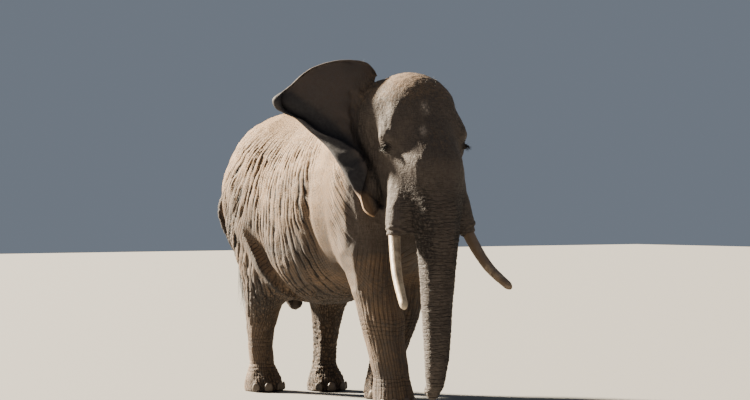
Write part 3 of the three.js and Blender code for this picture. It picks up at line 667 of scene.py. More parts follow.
right_ear = show("right_ear", ear_mesh("right_ear", EAR_ROOT, RIGHT_RIM, camber=-0.02, folded=1.0, side=-1,
                                       nu=150, nv=84))
left_ear = show("left_ear", ear_mesh("left_ear", across(EAR_ROOT), LEFT_RIM, camber=0.04, folded=0.0, side=1,
                                     nu=90, nv=44))
print("ears:", len(right_ear.data.polygons), len(left_ear.data.polygons), "faces")

# %% [markdown]
# ## Tail
# The tail is a tapering rope of skin. A tube swept along its curve has cleaner rings than a remesh could
# give to something so thin.

# %% Tubes
def tube(name, path, radius_at, rings, sides):
    """A closed tube along a path of knots. radius_at gives the radius at 0 to 1 along it."""
    at = curve_through(path)
    t = np.linspace(0, 1, rings)
    centre = at(t)
    way = np.gradient(centre, axis=0)
    way /= np.linalg.norm(way, axis=1, keepdims=True)
    side = np.cross(way[0], (0.3, 0.9, 0.2))
    points = []
    for i in range(rings):
        side = side - way[i] * np.dot(side, way[i])
        side /= np.linalg.norm(side)
        other = np.cross(way[i], side)
        for k in range(sides):
            angle = 2 * pi * k / sides
            points.append(centre[i] + radius_at(t[i]) * (np.cos(angle) * side + np.sin(angle) * other))
    points += [centre[0], centre[-1]]
    first, last = rings * sides, rings * sides + 1
    around = [(k, (k + 1) % sides) for k in range(sides)]
    faces = [(row + k, row + after, row + sides + after, row + sides + k)
             for row in range(0, first - sides, sides) for k, after in around]
    faces += [(first, after, k) for k, after in around]
    faces += [(last, first - sides + k, first - sides + after) for k, after in around]
    return clean_mesh(name, points, faces)


TAIL_LINE = [(0, 1.66, 2.50), (-0.04, 1.9, 2.43), (-0.19, 1.98, 2.23), (-0.305, 1.985, 1.96),
             (-0.205, 1.985, 1.68), (-0.04, 1.965, 1.38), (0.06, 1.955, 1.12)]    # from the body's middle


def tail_radius(t):
    return (0.078 - 0.05 * np.sqrt(t)) * (1 - 0.6 * ramp(0.93, 1, t)) * (1 + 0.03 * np.sin(t * 190))


tail_path = from_body(TAIL_LINE)
tail = show("tail_tube", tube("tail_tube", tail_path, tail_radius, 150, 20))
print("tail:", len(tail.data.vertices), "points")

# %% [markdown]
# ## One skin
# The ears and the thin tail join the body with Boolean unions, so that nothing shows where they grow out of
# it. A little smoothing along each join rounds the corner as skin does.

# %% Union
def unite(obj, other, soften):
    """other becomes part of obj's mesh, and the skin within soften of the join is evened out."""
    old_body, old_other = obj.data.copy(), other.data.copy()
    with_modifier(obj, "BOOLEAN", operation="UNION", object=other, solver="MANIFOLD")
    bpy.data.objects.remove(other)
    points = points_of(obj.data)
    reach = soften * 2
    near = np.maximum(distance_to(old_other, points, reach), distance_to(old_body, points, reach))
    smooth(obj.data, 6, 1 - ramp(soften * 0.4, soften, near), let_out=-0.1)
    return old_other


ear_sheets = [unite(skin, ear, soften=0.05) for ear in (right_ear, left_ear)]
unite(skin, tail, soften=0.04)
print("skin:", len(skin.data.vertices), "points", len(skin.data.polygons), "faces")

# %% [markdown]
# ## The valley before each ear
# Between the back of the cheek and the ear's sheet lies a deep valley. The sheet is pushed back bodily
# along it, both its faces together, so that it stays as thick as it was.

# %% Valley
VALLEY = [(-0.575, 0.07, 0.60), (-0.57, 0.05, 0.38), (-0.56, 0.02, 0.17), (-0.52, -0.03, 0.05),
          (-0.475, -0.09, -0.06), (-0.435, -0.15, -0.16), (-0.40, -0.20, -0.27), (-0.38, -0.23, -0.40),
          (-0.38, -0.22, -0.52)]
VALLEY_WIDE, VALLEY_DEEP = 0.034, 0.085
p = points_of(skin.data)
for mirror, way in ((list, (0.35, 0.93, 0)), (across, (-0.35, 0.93, 0))):
    deep = bell(path_distance(p, from_head(mirror(VALLEY))), VALLEY_WIDE)
    p = p + head_way(way) * (VALLEY_DEEP * deep)[:, None]
move_points(skin.data, p)
print("valley:", VALLEY_DEEP, "deep")

# %% [markdown]
# ## Lips round the tusks, and beds for the nails
# Where a tusk leaves the lip, the skin grips it in a thick ring with a crease behind. The ring is raised by
# each point's distance to the tusk, so it follows the ivory wherever that goes. The skin of the feet rises
# round each nail in the same way, so that the nail sits in it.

# %% Lips
LIP_REACH = 0.12
LIP_RINGS = [(0.014, 0.012, 0.011), (0.046, 0.011, -0.010), (0.070, 0.014, 0.006),
             (0.094, 0.010, -0.006)]         # each ring's distance from the ivory, its width and its height


def ring_tusks(mesh):
    p, n = points_of(mesh), normals_of(mesh)
    raised = np.zeros(len(p))
    for side in ("right", "left"):
        away = distance_to(nodes[f"tusk_{side}"].data, p, LIP_REACH)
        for at, width, height in LIP_RINGS:
            raised += height * bell(away - at, width) * (away < LIP_REACH)
    move_points(mesh, p + n * raised[:, None])
    return int((raised != 0).sum())


print("lips:", ring_tusks(skin.data), "points moved")

# %% Nail beds
BED_REACH, BED_AT, BED_WIDE, BED_HIGH = 0.05, 0.012, 0.016, 0.008
NAIL_NAMES = sorted(name for name in nodes if name.startswith("nail_"))


def hold_nails(mesh):
    p, n = points_of(mesh), normals_of(mesh)
    away = distance_to(merged_copy(NAIL_NAMES), p, BED_REACH)
    move_points(mesh, p + n * (BED_HIGH * bell(away - BED_AT, BED_WIDE) * (away < BED_REACH))[:, None])
    return int((away < BED_REACH).sum())


print("nail beds:", hold_nails(skin.data), "points moved")

# %% [markdown]
# ## Where each kind of skin lies
# Elephant skin changes from place to place: long hanging folds on the flank, rings round the trunk, a net
# of cracks on the head and legs. Each point of the skin gets a weight from 0 to 1 for each kind, kept as a
# named attribute. The folds are then cut by Geometry Nodes and coloured by the material from the same
# weights.

# %% How the folds run
FAN_TOP, FAN_Y = 3.75, 0.42                  # the flank's folds hang from here and spread
FAN_SCALE, NECK_SCALE = 1.7, 0.8             # these make the folds as wide in the fan as on the neck
NECK_SLANT = 0.76                            # how far forward the neck's folds run for each metre down
LEG_RADIUS, LEG_TWIST = 0.24, 0.12           # a leg's mean radius, and how far its folds wind round it


def flow_of(points):
    """Coordinates that run across the body's hanging folds, along them, and through the body."""
    x, y, z = points.T
    angle = np.arctan2(y - FAN_Y, np.maximum(FAN_TOP - z, 0.2))
    away = np.hypot(y - FAN_Y, FAN_TOP - z)
    before = ramp(-0.20, -0.48, y)
    across_it = angle * FAN_SCALE * (1 - before) + (y - NECK_SLANT * z) * NECK_SCALE * before
    along_it = away * (1 - before) + (NECK_SLANT * y + z) * NECK_SCALE * before
    return np.stack((across_it, along_it, x - MIDDLE_X), 1)


def leg_flow_of(points):
    """The same for the legs and the body's two ends: round a leg, along it, and out from it."""
    nearest = np.full(len(points), 9.0)
    flow = np.zeros((len(points), 3))
    for name in (name for name in FLESH if name.startswith("leg_")):
        solid = points_of(nodes[name].data)
        height = np.clip(points[:, 2], solid[:, 2].min(), solid[:, 2].max())
        away = [points[:, k] - np.polyval(np.polyfit(solid[:, 2], solid[:, k], 3), height) for k in (0, 1)]
        out = np.hypot(*away)
        round_it = np.arctan2(*away) * LEG_RADIUS + points[:, 2] * LEG_TWIST
        here = np.stack((round_it, points[:, 2], out), 1)
        flow = np.where((out < nearest)[:, None], here, flow)
        nearest = np.minimum(nearest, out)
    return flow


print("from the fan's top to the skin:", flow_of(points_of(skin.data))[:, 1].min().round(2), "m or more")

# %% Parts of the skin
def near_path(points, path):
    """How far each point is from a path or from its mirror image, whichever is nearer."""
    return np.minimum(path_distance(points, path), path_distance(points, across(path)))


def from_eyes(points):
    """How far each point is from the nearer eye."""
    return np.minimum(*[np.linalg.norm(points - at, axis=1) for at in eye_centre.values()])


def from_sheath(points):
    return np.linalg.norm(points - centre_of("sheath"), axis=1)


def ear_weight(p, h):
    """How much of a point belongs to an ear: the sheets, and a soft edge where they leave the head."""
    ear = np.zeros(len(p))
    for sheet in ear_sheets:
        ear = np.maximum(ear, 1 - ramp(0.012, 0.03, distance_to(sheet, p, 0.03)))
    return ear * np.maximum(ramp(0.44, 0.54, np.abs(h[:, 0])), ramp(0.02, 0.10, h[:, 1]))


def skin_parts(p, n, h, ear):
    """The weights of the trunk, the head, the soft rest, and in that the legs and the body's two ends."""
    y, z = p[:, 1], p[:, 2]
    hx, hy, hz = h.T
    from_trunk = np.hypot(hx + 0.02, hy + 0.74)
    rest = 1 - ear
    trunk = ramp(-0.15, -0.62, hz) * (1 - ramp(0.30, 0.40, from_trunk)) * (1 - ramp(-0.40, -0.30, hy)) * rest
    head = (1 - ramp(0.05, 0.30, hy)) * ramp(-1.05, -0.9, hz) * (1 - ramp(0.6, 0.7, np.abs(hx))) * (1 - trunk)
    head *= ramp(1.15, 1.3, z) * rest
    soft = rest * (1 - head) * (1 - trunk)
    leg = (1 - ramp(0.95, 1.45, z)) * soft
    ends = ramp(0.45, 0.75, np.abs(n[:, 1])) * ramp(1.0, 1.35, np.abs(y - 0.5)) * soft * (1 - leg)
    return trunk, head, soft, leg, ends


def skin_places(mesh):
    """What the weights need: points, normals, places in the head's frame, and the ears' weight."""
    p, n = points_of(mesh), normals_of(mesh)
    h = to_head(p)
    return p, n, h, ear_weight(p, h)


def shares(weights):
    return {name: round(float(values.mean()), 3) for name, values in weights.items()}


places = skin_places(skin.data)
print("points on the ears:", int((places[3] > 0.5).sum()))

# %% Weights of the folds
RUMP_KNOBS = [(-0.70, 1.05, 1.80), (-0.74, 1.35, 1.60)]    # knobbly skin behind the belly's fold
KNOBS_WIDE = 0.03 ** 0.5


def fold_weights(p, n, h, ear):
    """Where each kind of fold lies. The ramps begin and end where that skin does, in metres."""
    y, z = p[:, 1], p[:, 2]
    trunk, head, soft, leg, ends = skin_parts(p, n, h, ear)
    side = ramp(0.2, 0.55, np.abs(n[:, 0]))
    fan = np.abs(np.arctan2(y - FAN_Y, FAN_TOP - z))
    shoulder = bell(y + 0.33, 0.17) * ramp(1.3, 1.6, z) * soft
    calm = 1 - (1 - ramp(0.05, 0.16, side_distance(p, from_body(BELLY_FOLD)))) * (z > 0.9)
    flank = hump(y, -0.15, 0.02, 1.7, 2.2) * ramp(0.85, 1.2, z) * (1 - ramp(2.5, 2.95, z)) * soft
    flank *= (0.25 + 0.75 * side) * (1 - 0.8 * shoulder) * (1 - 0.7 * ramp(0.50, 0.80, fan))
    flank *= (1 - ends) * calm
    rump = ramp(0.9, 1.3, y) * ramp(1.0, 1.3, z) * soft * calm
    neck = hump(y, -1.35, -1.0, -0.55, -0.42) * ramp(1.45, 1.75, z) * soft * (1 - ends)
    belly = (1 - ramp(1.0, 1.35, z)) * hump(y, -0.6, -0.3, 1.1, 1.4) * soft
    belly *= 1 - ramp(0.4, 0.2, from_sheath(p))
    knobs = bell(path_distance(p, from_body(RUMP_KNOBS)), KNOBS_WIDE) * soft * calm
    ear_base = bell(near_path(h, EAR_ROOT), 0.15) * (1 - 0.5 * ear)
    wrist, ankle = bell(z - 0.80, 0.11) * (y < 0), bell(z - 0.52, 0.10) * (y > 0)
    bends = leg * (wrist + bell(z - 0.26, 0.09) + 0.7 * ankle)
    knobby = trunk * ramp(0.35, 0.75, np.abs(n @ HEAD_FRAME[:3, 0])) * ramp(-1.5, -0.9, h[:, 2])
    return {"trunk": trunk, "head": head, "flank": flank, "rump": rump, "neck": neck, "belly": belly,
            "ear": ear, "ear_base": ear_base, "bends": bends, "knobby": knobby, "knobs": knobs,
            "hanging": np.maximum(leg, ends)}


print("share of the skin:", shares(fold_weights(*places)))

# %% Weights of the colours
FLAP = [(-1.21, 0.50, 0.57), (-1.12, 0.45, 0.53), (-0.95, 0.34, 0.38), (-0.80, 0.20, 0.22),
        (-0.70, 0.07, 0.05), (-0.64, -0.04, -0.12), (-0.58, -0.12, -0.28)]    # the ear's turned-over edge
SCARS = [([(-0.05, -0.60, 0.45), (-0.05, -0.62, 0.39)], 0.030),
         ([(-0.12, -0.69, 0.22), (-0.11, -0.71, 0.17)], 0.026)]    # scrapes on the brow, and their widths


def colour_weights(p, n, h, ear):
    """Where dust, painted light, painted shade and scars lie."""
    _, head, soft, _, _ = skin_parts(p, n, h, ear)
    # The tail, the belly's fold and the sheath are marked here for painted shade
    tail = 1 - ramp(0.10, 0.16, path_distance(p, tail_path[1:]))
    fold = bell(side_distance(p, from_body(BELLY_FOLD[2:]) + (0, 0.040, 0)), 0.045) * soft
    fold *= ramp(0.2, 0.5, np.abs(n[:, 0])) * ramp(0.9, 1.2, p[:, 2])
    sheath = ramp(0.32, 0.14, from_sheath(p))
    # painted shade in the valley before each ear, round the sheath, under the belly's fold and on the tail
    grime = np.maximum.reduce((bell(near_path(h, VALLEY), 0.040), 0.8 * sheath, 0.9 * fold, 0.45 * tail))
    # painted light: the ear's lower lobe takes the light dusty colour instead of the ear's dark one
    lobe = ear * ramp(-0.36, -0.46, h[:, 2]) * (h[:, 0] < 0)
    # painted shade and a painted blue sky reflection along the ear's turned-over edge
    band = ear * (1 - ramp(0.09, 0.15, path_distance(h, FLAP))) * (1 - lobe)
    scar = sum(bell(path_distance(h, path), width) for path, width in SCARS)
    # painted shade round each eye, where the brow and lids shade it
    eye = 1 - ramp(0.028, 0.085, from_eyes(p))
    # dust, mixed with painted light and shade: upward faces and high places lighter, the tail and the lower
    # head darker
    dust = ramp(-0.3, 0.8, n[:, 2]) * 0.35 + ramp(1.5, 2.6, p[:, 2]) * 0.65 - 0.5 * tail
    dust -= 0.5 * head * (1 - ramp(0.25, 0.60, h[:, 2]))
    return {"dust": dust, "grime": grime, "lobe": lobe, "band": band, "scar": scar, "eye": eye}


print("share of the skin:", shares(colour_weights(*places)))

# %% Keep the weights
def keep(mesh, name, values):
    """Keeps one value, or one vector, for each point of a mesh under a name."""
    kind, key = ("FLOAT", "value") if values.ndim == 1 else ("FLOAT_VECTOR", "vector")
    layer = mesh.attributes.get(name) or mesh.attributes.new(name, kind, "POINT")
    layer.data.foreach_set(key, values.astype(np.float32).ravel())


def keep_weights(mesh, places):
    for name, values in {**fold_weights(*places), **colour_weights(*places)}.items():
        keep(mesh, name, values)
    keep(mesh, "flow", flow_of(places[0]))
    keep(mesh, "leg_flow", leg_flow_of(places[0]))


keep_weights(skin.data, places)
print("weights kept:", [a.name for a in skin.data.attributes if a.data_type == "FLOAT"])

# %% [markdown]
# ## A short way to write nodes
# Materials and Geometry Nodes share their texture and arithmetic nodes. This small class adds nodes to
# either kind of tree, so one function can make the same wrinkles as real relief and as fine bump.

# %% Node tools
class Tree:
    """Adds nodes to a material's tree or to a Geometry Nodes tree, and gives back their outputs."""

    def __init__(self, tree):
        self.tree = tree
        self.shading = tree.bl_idname == "ShaderNodeTree"
        self.kept = {}

    def node(self, kind, inputs=(), **settings):
        node = self.tree.nodes.new(kind)
        for key, value in settings.items():
            setattr(node, key, value)
        for key, value in dict(inputs).items():
            self.feed(node.inputs[key], value)
        return node

    def feed(self, socket, value):
        if isinstance(value, bpy.types.NodeSocket):
            self.tree.links.new(value, socket)
        elif value is not None:
            socket.default_value = value

    def math(self, operation, a, b=None, c=None, clamp=False):
        node = self.node("ShaderNodeMath", {0: a, 1: b, 2: c}, operation=operation, use_clamp=clamp)
        return node.outputs[0]

    def add(self, a, b):
        return self.math("ADD", a, b)

    def times(self, a, b):
        return self.math("MULTIPLY", a, b)

    def less(self, a):
        """1 minus the value."""
        return self.math("SUBTRACT", 1.0, a)

    def mixed(self, *terms):
        """The sum of the terms, each of them a value and how much of it."""
        return reduce(self.add, [self.times(value, amount) for value, amount in terms])

    def vector(self, operation, a, b=None, scale=None):
        node = self.node("ShaderNodeVectorMath", {0: a}, operation=operation)
        if b is not None:
            self.feed(node.inputs[1], b)
        if scale is not None:
            self.feed(node.inputs["Scale"], scale)
        return node.outputs["Vector"]

    def stretched(self, place, amounts):
        return self.vector("MULTIPLY", place, amounts)

    def part(self, vector, axis):
        return self.node("ShaderNodeSeparateXYZ", {0: vector}).outputs[axis]

    def steps(self, value, start, end, low=0.0, high=1.0):
        return self.node("ShaderNodeMapRange", {0: value, 1: start, 2: end, 3: low, 4: high},
                         interpolation_type="SMOOTHSTEP").outputs[0]

    def noise(self, place, scale, detail=2.0, roughness=0.5, colour=False):
        node = self.node("ShaderNodeTexNoise", {"Vector": place, "Scale": scale, "Detail": detail,
                                                "Roughness": roughness})
        return node.outputs["Color" if colour else "Fac"]

    def cells(self, place, scale):
        """How far each place is from the nearest edge between the cells of a random net."""
        return self.node("ShaderNodeTexVoronoi", {"Vector": place, "Scale": scale},
                         feature="DISTANCE_TO_EDGE").outputs["Distance"]

    def place(self):
        if "place" not in self.kept:
            self.kept["place"] = (self.node("ShaderNodeTexCoord").outputs["Object"] if self.shading
                                  else self.node("GeometryNodeInputPosition").outputs[0])
        return self.kept["place"]

    def stored(self, name, output, data_type):
        """What the mesh keeps under a name."""
        if name not in self.kept:
            if self.shading:
                node = self.node("ShaderNodeAttribute", attribute_name=name)
            else:
                node = self.node("GeometryNodeInputNamedAttribute", {"Name": name}, data_type=data_type)
            self.kept[name] = node.outputs[output if self.shading else 0]
        return self.kept[name]

    def weight(self, name):
        return self.stored(name, "Fac", "FLOAT")

    def flow(self, name="flow"):
        return self.stored(name, "Vector", "FLOAT_VECTOR")

    def warped(self, place, scale, amount):
        """The place, pushed about by a soft noise, so that lines made from it wander."""
        drift = self.vector("SUBTRACT", self.noise(place, scale, 2.0, colour=True), (0.5, 0.5, 0.5))
        return self.vector("ADD", place, self.vector("SCALE", drift, scale=amount))


print("node tools:", [name for name in vars(Tree) if not name.startswith("_")])

# %% Patterns
def net(t, place, stretch, size, width, wander=0.5):
    """A net of creases: 1 on the pads between them, 0 in the creases. Stretch below 1 draws the pads out."""
    bent = t.warped(place, 0.3 / size, size * wander * 3)
    return t.steps(t.cells(t.stretched(bent, stretch), 1 / size), 0.0, width)


def furrows(t, place, stretch, size, width=0.09, detail=1.0):
    """Long creases that wander and meet: 0 where a stretched noise crosses its middle, and 1 away from it."""
    level = t.noise(t.stretched(place, stretch), 1 / size, detail, 0.5)
    return t.steps(t.math("ABSOLUTE", t.math("SUBTRACT", level, 0.5)), 0.0, width)


def folds(t, across, place, spacing, wander):
    """Side by side folds, rounded between narrow creases: 0 in a crease, 1 on a crest."""
    drift = t.noise(place, 0.16 / spacing, 3.0, 0.55)
    turn = t.add(t.times(across, pi / spacing), t.times(drift, wander * pi))
    return t.math("ABSOLUTE", t.math("SINE", turn))


print("patterns:", [pattern.__name__ for pattern in (net, furrows, folds)])

# %% [markdown]
# ## The folds
# The folds deep enough to throw shadows are cut into the skin itself, by Geometry Nodes that read the
# weights and add up the folds that belong at each point. Cutting them in by a rule keeps every fold
# editable by one number, where sculpting would fix them. Here are the kinds of fold and their depths.

# %% Folds in relief
FOLD_GAP = 0.064                             # from one flank fold to the next
RING_GAP = 0.036                             # from one ring of the trunk to the next
BEND_GAP = 0.040                             # from one wrinkle of a wrist or ankle to the next
LIMB_GAP = 0.046                             # from one upright fold of a leg to the next


def flank_place(t):
    return t.stretched(t.flow(), (1.0, 0.16, 0.3))


def flank_folds(t):
    return folds(t, t.part(t.flow(), "X"), t.stretched(t.flow(), (1.0, 0.45, 0.3)), FOLD_GAP, 4.2)


def uneven(t):
    """From nearly 0 to 1, changing slowly over the body, so that folds are deep here and faint there."""
    return t.steps(t.noise(t.place(), 4.5, 4.0, 0.65), 0.36, 0.60, 0.15, 1.0)


def trunk_rings(t):
    bent = t.warped(t.place(), 3.0, 0.10)
    return folds(t, t.part(bent, "Z"), t.stretched(t.place(), (0.6, 0.6, 1.0)), RING_GAP, 1.6)


def bend_rings(t):
    bent = t.warped(t.place(), 4.0, 0.08)
    return folds(t, t.part(bent, "Z"), t.place(), BEND_GAP, 1.2)


def limb_folds(t):
    place = t.flow("leg_flow")
    return folds(t, t.part(place, "X"), t.stretched(place, (1.0, 0.3, 0.3)), LIMB_GAP, 1.8)


print("folds to a metre of flank:", round(1 / FOLD_GAP))

# %% Depth of the folds
FLANK_DEPTH = 0.011


def fold_depth(t):
    """How far each point sinks, in metres."""
    place = t.place()
    wide = furrows(t, flank_place(t), (1.0, 0.7, 1.0), 0.13, 0.10)
    narrow = furrows(t, flank_place(t), (1.0, 0.8, 1.0), 0.070, 0.12)
    knobs = net(t, place, (1.0, 1.0, 1.0), 0.045, 0.45, 0.8)
    wrinkles = furrows(t, place, (0.30, 0.30, 1.0), 0.060, 0.12)
    upright = furrows(t, place, (1.0, 1.0, 0.20), 0.060, 0.12)
    brow = furrows(t, place, (1.0, 1.0, 0.35), 0.09, 0.1)
    veins = furrows(t, place, (1.0, 1.0, 0.6), 0.16, 0.1)
    depth = t.times(t.times(t.less(flank_folds(t)), uneven(t)), t.times(t.weight("flank"), FLANK_DEPTH))
    for level, deep, kind in (
            (wide, 0.006, "flank"), (narrow, 0.005, "flank"), (wide, 0.012, "neck"), (narrow, 0.006, "neck"),
            (narrow, 0.005, "rump"), (trunk_rings(t), 0.0028, "trunk"), (wrinkles, 0.004, "trunk"),
            (knobs, 0.006, "knobby"), (limb_folds(t), 0.006, "hanging"), (bend_rings(t), 0.005, "bends"),
            (brow, 0.003, "head"), (upright, 0.009, "ear_base"), (knobs, 0.010, "belly"),
            (knobs, 0.008, "knobs"), (veins, 0.0025, "ear")):
        depth = t.add(depth, t.times(t.times(t.less(level), deep), t.weight(kind)))
    return depth


print("flank folds:", FLANK_DEPTH, "m deep")

# %% [markdown]
# ## The look of the skin
# Elephant skin is grey-brown under dust. Dust lies on the back and on the crests of the folds, and the
# creases between are darker, partly their own colour and partly painted shade. Painted shade also darkens the
# head, trunk, ears, lower body, tail, hollows and eyes, and painted light brightens the top and the ear's
# lower lobe.
# Three sizes of crease make the bump: those of the relief again, a smaller set beside them, and a fine net
# over everything.

# %% Material tools
def material(name):
    """An empty material with one shader: the material, its tree and the shader."""
    made = bpy.data.materials.new(name)
    made.use_nodes = True
    made.node_tree.nodes.clear()
    t = Tree(made.node_tree)
    shader = t.node("ShaderNodeBsdfPrincipled")
    t.feed(t.node("ShaderNodeOutputMaterial").inputs["Surface"], shader.outputs[0])
    return made, t, shader


def finish(t, shader, colour, roughness, height=None, strength=1.0):
    """Gives the shader its colour and roughness, and a bump where a height is given, in metres."""
    t.feed(shader.inputs["Base Color"], colour)
    t.feed(shader.inputs["Roughness"], roughness)
    if height is not None:
        bump = t.node("ShaderNodeBump", {"Height": height, "Strength": strength, "Distance": 1.0})
        t.feed(shader.inputs["Normal"], bump.outputs[0])


def blend(t, factor, a, b):
    """Colour a where the factor is 0, and colour b where it is 1."""
    node = t.node("ShaderNodeMix", {"Factor": factor}, data_type="RGBA")
    for socket in node.inputs:
        if socket.type == "RGBA":
            t.feed(socket, a if socket.name == "A" else b)
    return [socket for socket in node.outputs if socket.type == "RGBA"][0]


print("material tools:", [tool.__name__ for tool in (material, finish, blend)])

# %% Large creases
NECK_GAP = 0.050


def crease(t, folded, width=0.5):
    """1 in the line between two folds, and 0 over the rest of them."""
    return t.less(t.steps(folded, 0.0, width))


def lines(t, place, axis, stretch, gap, wander, width=0.5):
    """Creases side by side along one axis of a place."""
    return crease(t, folds(t, t.part(place, axis), t.stretched(place, stretch), gap, wander), width)


def large_creases(t):
    """The creases of the relief, and the neck's."""
    neck = crease(t, folds(t, t.part(t.flow(), "X"), flank_place(t), NECK_GAP, 3.0))
    return t.mixed((t.times(crease(t, flank_folds(t), 0.75), uneven(t)), t.times(t.weight("flank"), 1.15)),
                   (neck, t.times(t.weight("neck"), 0.8)),
                   (crease(t, trunk_rings(t)), t.times(t.weight("trunk"), 0.45)),
                   (crease(t, bend_rings(t)), t.times(t.weight("bends"), 0.5)),
                   (crease(t, limb_folds(t)), t.times(t.weight("hanging"), 0.6)))


print("neck creases:", NECK_GAP, "m apart")

# %% Small and tiny creases
FINE_GAP, CROSS_GAP = 0.024, 0.026
LEG_LINE_GAP, LEG_BAND_GAP, RING_LINE_GAP = 0.019, 0.024, 0.016


def small_creases(t):
    """Lines beside the large creases, across them and round the trunk, and knobs on knobbly skin."""
    place, round_leg = t.place(), t.flow("leg_flow")
    hanging, head, trunk, ear = (t.weight(name) for name in ("hanging", "head", "trunk", "ear"))
    body = t.math("SUBTRACT", 1.0, t.add(t.add(hanging, head), t.add(trunk, ear)), clamp=True)
    here = t.steps(t.noise(place, 7.0, 3.0, 0.6), 0.38, 0.62, 0.15, 1.0)
    across_here = t.steps(t.noise(place, 3.1, 2.0), 0.35, 0.6, 0.15, 0.7)
    fine = lines(t, t.flow(), "X", (1.0, 0.3, 0.5), FINE_GAP, 2.6, 0.6)
    cross = lines(t, t.flow(), "Y", (2.2, 1.0, 1.0), CROSS_GAP, 5.0)
    upright = lines(t, round_leg, "X", (1.0, 0.4, 0.3), LEG_LINE_GAP, 2.0, 0.6)
    bands = lines(t, round_leg, "Y", (1.6, 1.0, 0.3), LEG_BAND_GAP, 4.4)
    rings = crease(t, folds(t, t.part(t.warped(place, 5.0, 0.05), "Z"), place, RING_LINE_GAP, 1.4), 0.6)
    knobs = t.less(net(t, place, (1.0, 1.0, 0.75), 0.034, 0.35, 0.7))
    knobbly = t.add(t.add(t.weight("belly"), t.weight("knobs")), t.weight("knobby"))
    down = t.less(furrows(t, place, (1.0, 1.0, 0.25), 0.026, 0.12))
    level = t.less(furrows(t, place, (0.3, 0.3, 1.0), 0.028, 0.12))
    return t.mixed((knobs, t.times(knobbly, 0.8)),
                   (fine, t.times(body, 0.65)),
                   (cross, t.times(body, across_here)),
                   (t.times(t.mixed((upright, 0.6), (bands, 0.22)), hanging), here),
                   (t.times(rings, here), t.mixed((trunk, 0.6), (head, 0.25))),
                   (down, t.mixed((head, 0.25), (t.weight("ear_base"), 0.5))),
                   (level, t.mixed((head, 0.20), (trunk, 0.5))))


def tiny_creases(t):
    """A fine net over everything, fainter on the ears and the head."""
    amount = t.add(0.32, t.times(t.add(t.weight("ear"), t.weight("head")), -0.14))
    return t.times(t.less(net(t, t.place(), (1.0, 1.0, 0.8), 0.012, 0.28, 0.8)), amount)


print("small creases:", FINE_GAP, "m apart")

# %% Skin material
# colour of the creases, partly their own and partly painted shade, and of painted shade elsewhere
CREASE_AND_SHADE_SKIN = (0.012, 0.009, 0.008, 1)
GREY_SKIN = (0.070, 0.055, 0.046, 1)
DUSTY_AND_LIT_SKIN = (0.290, 0.182, 0.099, 1)
# the ear's skin, darkened as painted shade
SHADED_EAR_SKIN = (0.040, 0.033, 0.033, 1)
# dark bluish painted shade and sky reflection
FLAP_PAINTED_SHADE = (0.011, 0.012, 0.017, 1)         # the ear's turned-over edge
SCAR_SKIN = (0.42, 0.36, 0.31, 1)


def skin_colour(t, speckle, creases):
    """Grey or dusty by patches, lighter above and greyer on head, trunk and ears as painted light and shade;
    then painted shade on the ears and their turned-over edge, painted light on the lobe, scars, and dark in
    the creases, partly painted shade, and in painted shade.
    """
    head, trunk, ear, lobe = (t.weight(name) for name in ("head", "trunk", "ear", "lobe"))
    patches = t.steps(t.noise(t.place(), 1.7, 5.0, 0.62), 0.32, 0.68)
    # share of the dusty colour: dust with painted light, and the head, trunk and ears made greyer, partly as
    # painted shade
    dusty = t.mixed((patches, 0.40), (t.weight("dust"), 0.85), (t.math("SUBTRACT", speckle, 0.5), 0.8),
                    (t.add(head, t.add(trunk, ear)), -0.70))
    colour = blend(t, t.math("MULTIPLY", dusty, 1.0, clamp=True), GREY_SKIN, DUSTY_AND_LIT_SKIN)
    # the ears in their own colour darkened as painted shade, except on the lobe
    colour = blend(t, t.times(t.math("SUBTRACT", ear, lobe, clamp=True), 0.85), colour, SHADED_EAR_SKIN)
    # painted light on the ear's lower lobe
    colour = blend(t, t.times(lobe, 0.8), colour, DUSTY_AND_LIT_SKIN)
    # painted shade and painted sky reflection on the ear's turned-over edge
    colour = blend(t, t.times(t.weight("band"), 0.8), colour, FLAP_PAINTED_SHADE)
    colour = blend(t, t.times(t.weight("scar"), t.steps(speckle, 0.4, 0.6, 0.2, 0.9)), colour, SCAR_SKIN)
    # the creases darkened, partly as their own colour and partly as painted shade
    dark = t.math("MULTIPLY", t.mixed(*zip(creases, (1.0, 0.80, 0.45))), 1.0, clamp=True)
    # painted shade round the eyes, in the valleys before the ears, round the sheath, under the belly's fold
    # and on the tail
    shade_paint = t.mixed((t.weight("eye"), 0.6), (t.weight("grime"), 0.75))
    return blend(t, t.math("ADD", dark, shade_paint, clamp=True), colour, CREASE_AND_SHADE_SKIN)


def skin_material():
    made, t, shader = material("elephant_skin")
    speckle = t.noise(t.place(), 30.0, 3.0, 0.65)
    grain = t.noise(t.place(), 160.0, 3.0, 0.6)
    creases = large_creases(t), small_creases(t), tiny_creases(t)
    height = t.mixed(*zip((*creases, grain), (-0.008, -0.0060, -0.0035, 0.0007)))
    finish(t, shader, skin_colour(t, speckle, creases), t.steps(speckle, 0.3, 0.7, 0.68, 0.9), height)
    shader.inputs["Specular IOR Level"].default_value = 0.35
    return made


skin_look = skin_material()
print("skin material:", len(skin_look.node_tree.nodes), "nodes")

# %% [markdown]
# ## Cutting the folds
# The tree pushes each point in along its normal by the depth of the folds. How deep, and which material the
# skin gets, are its inputs. The skin round the eyes is held still, because the lids are already shaped.

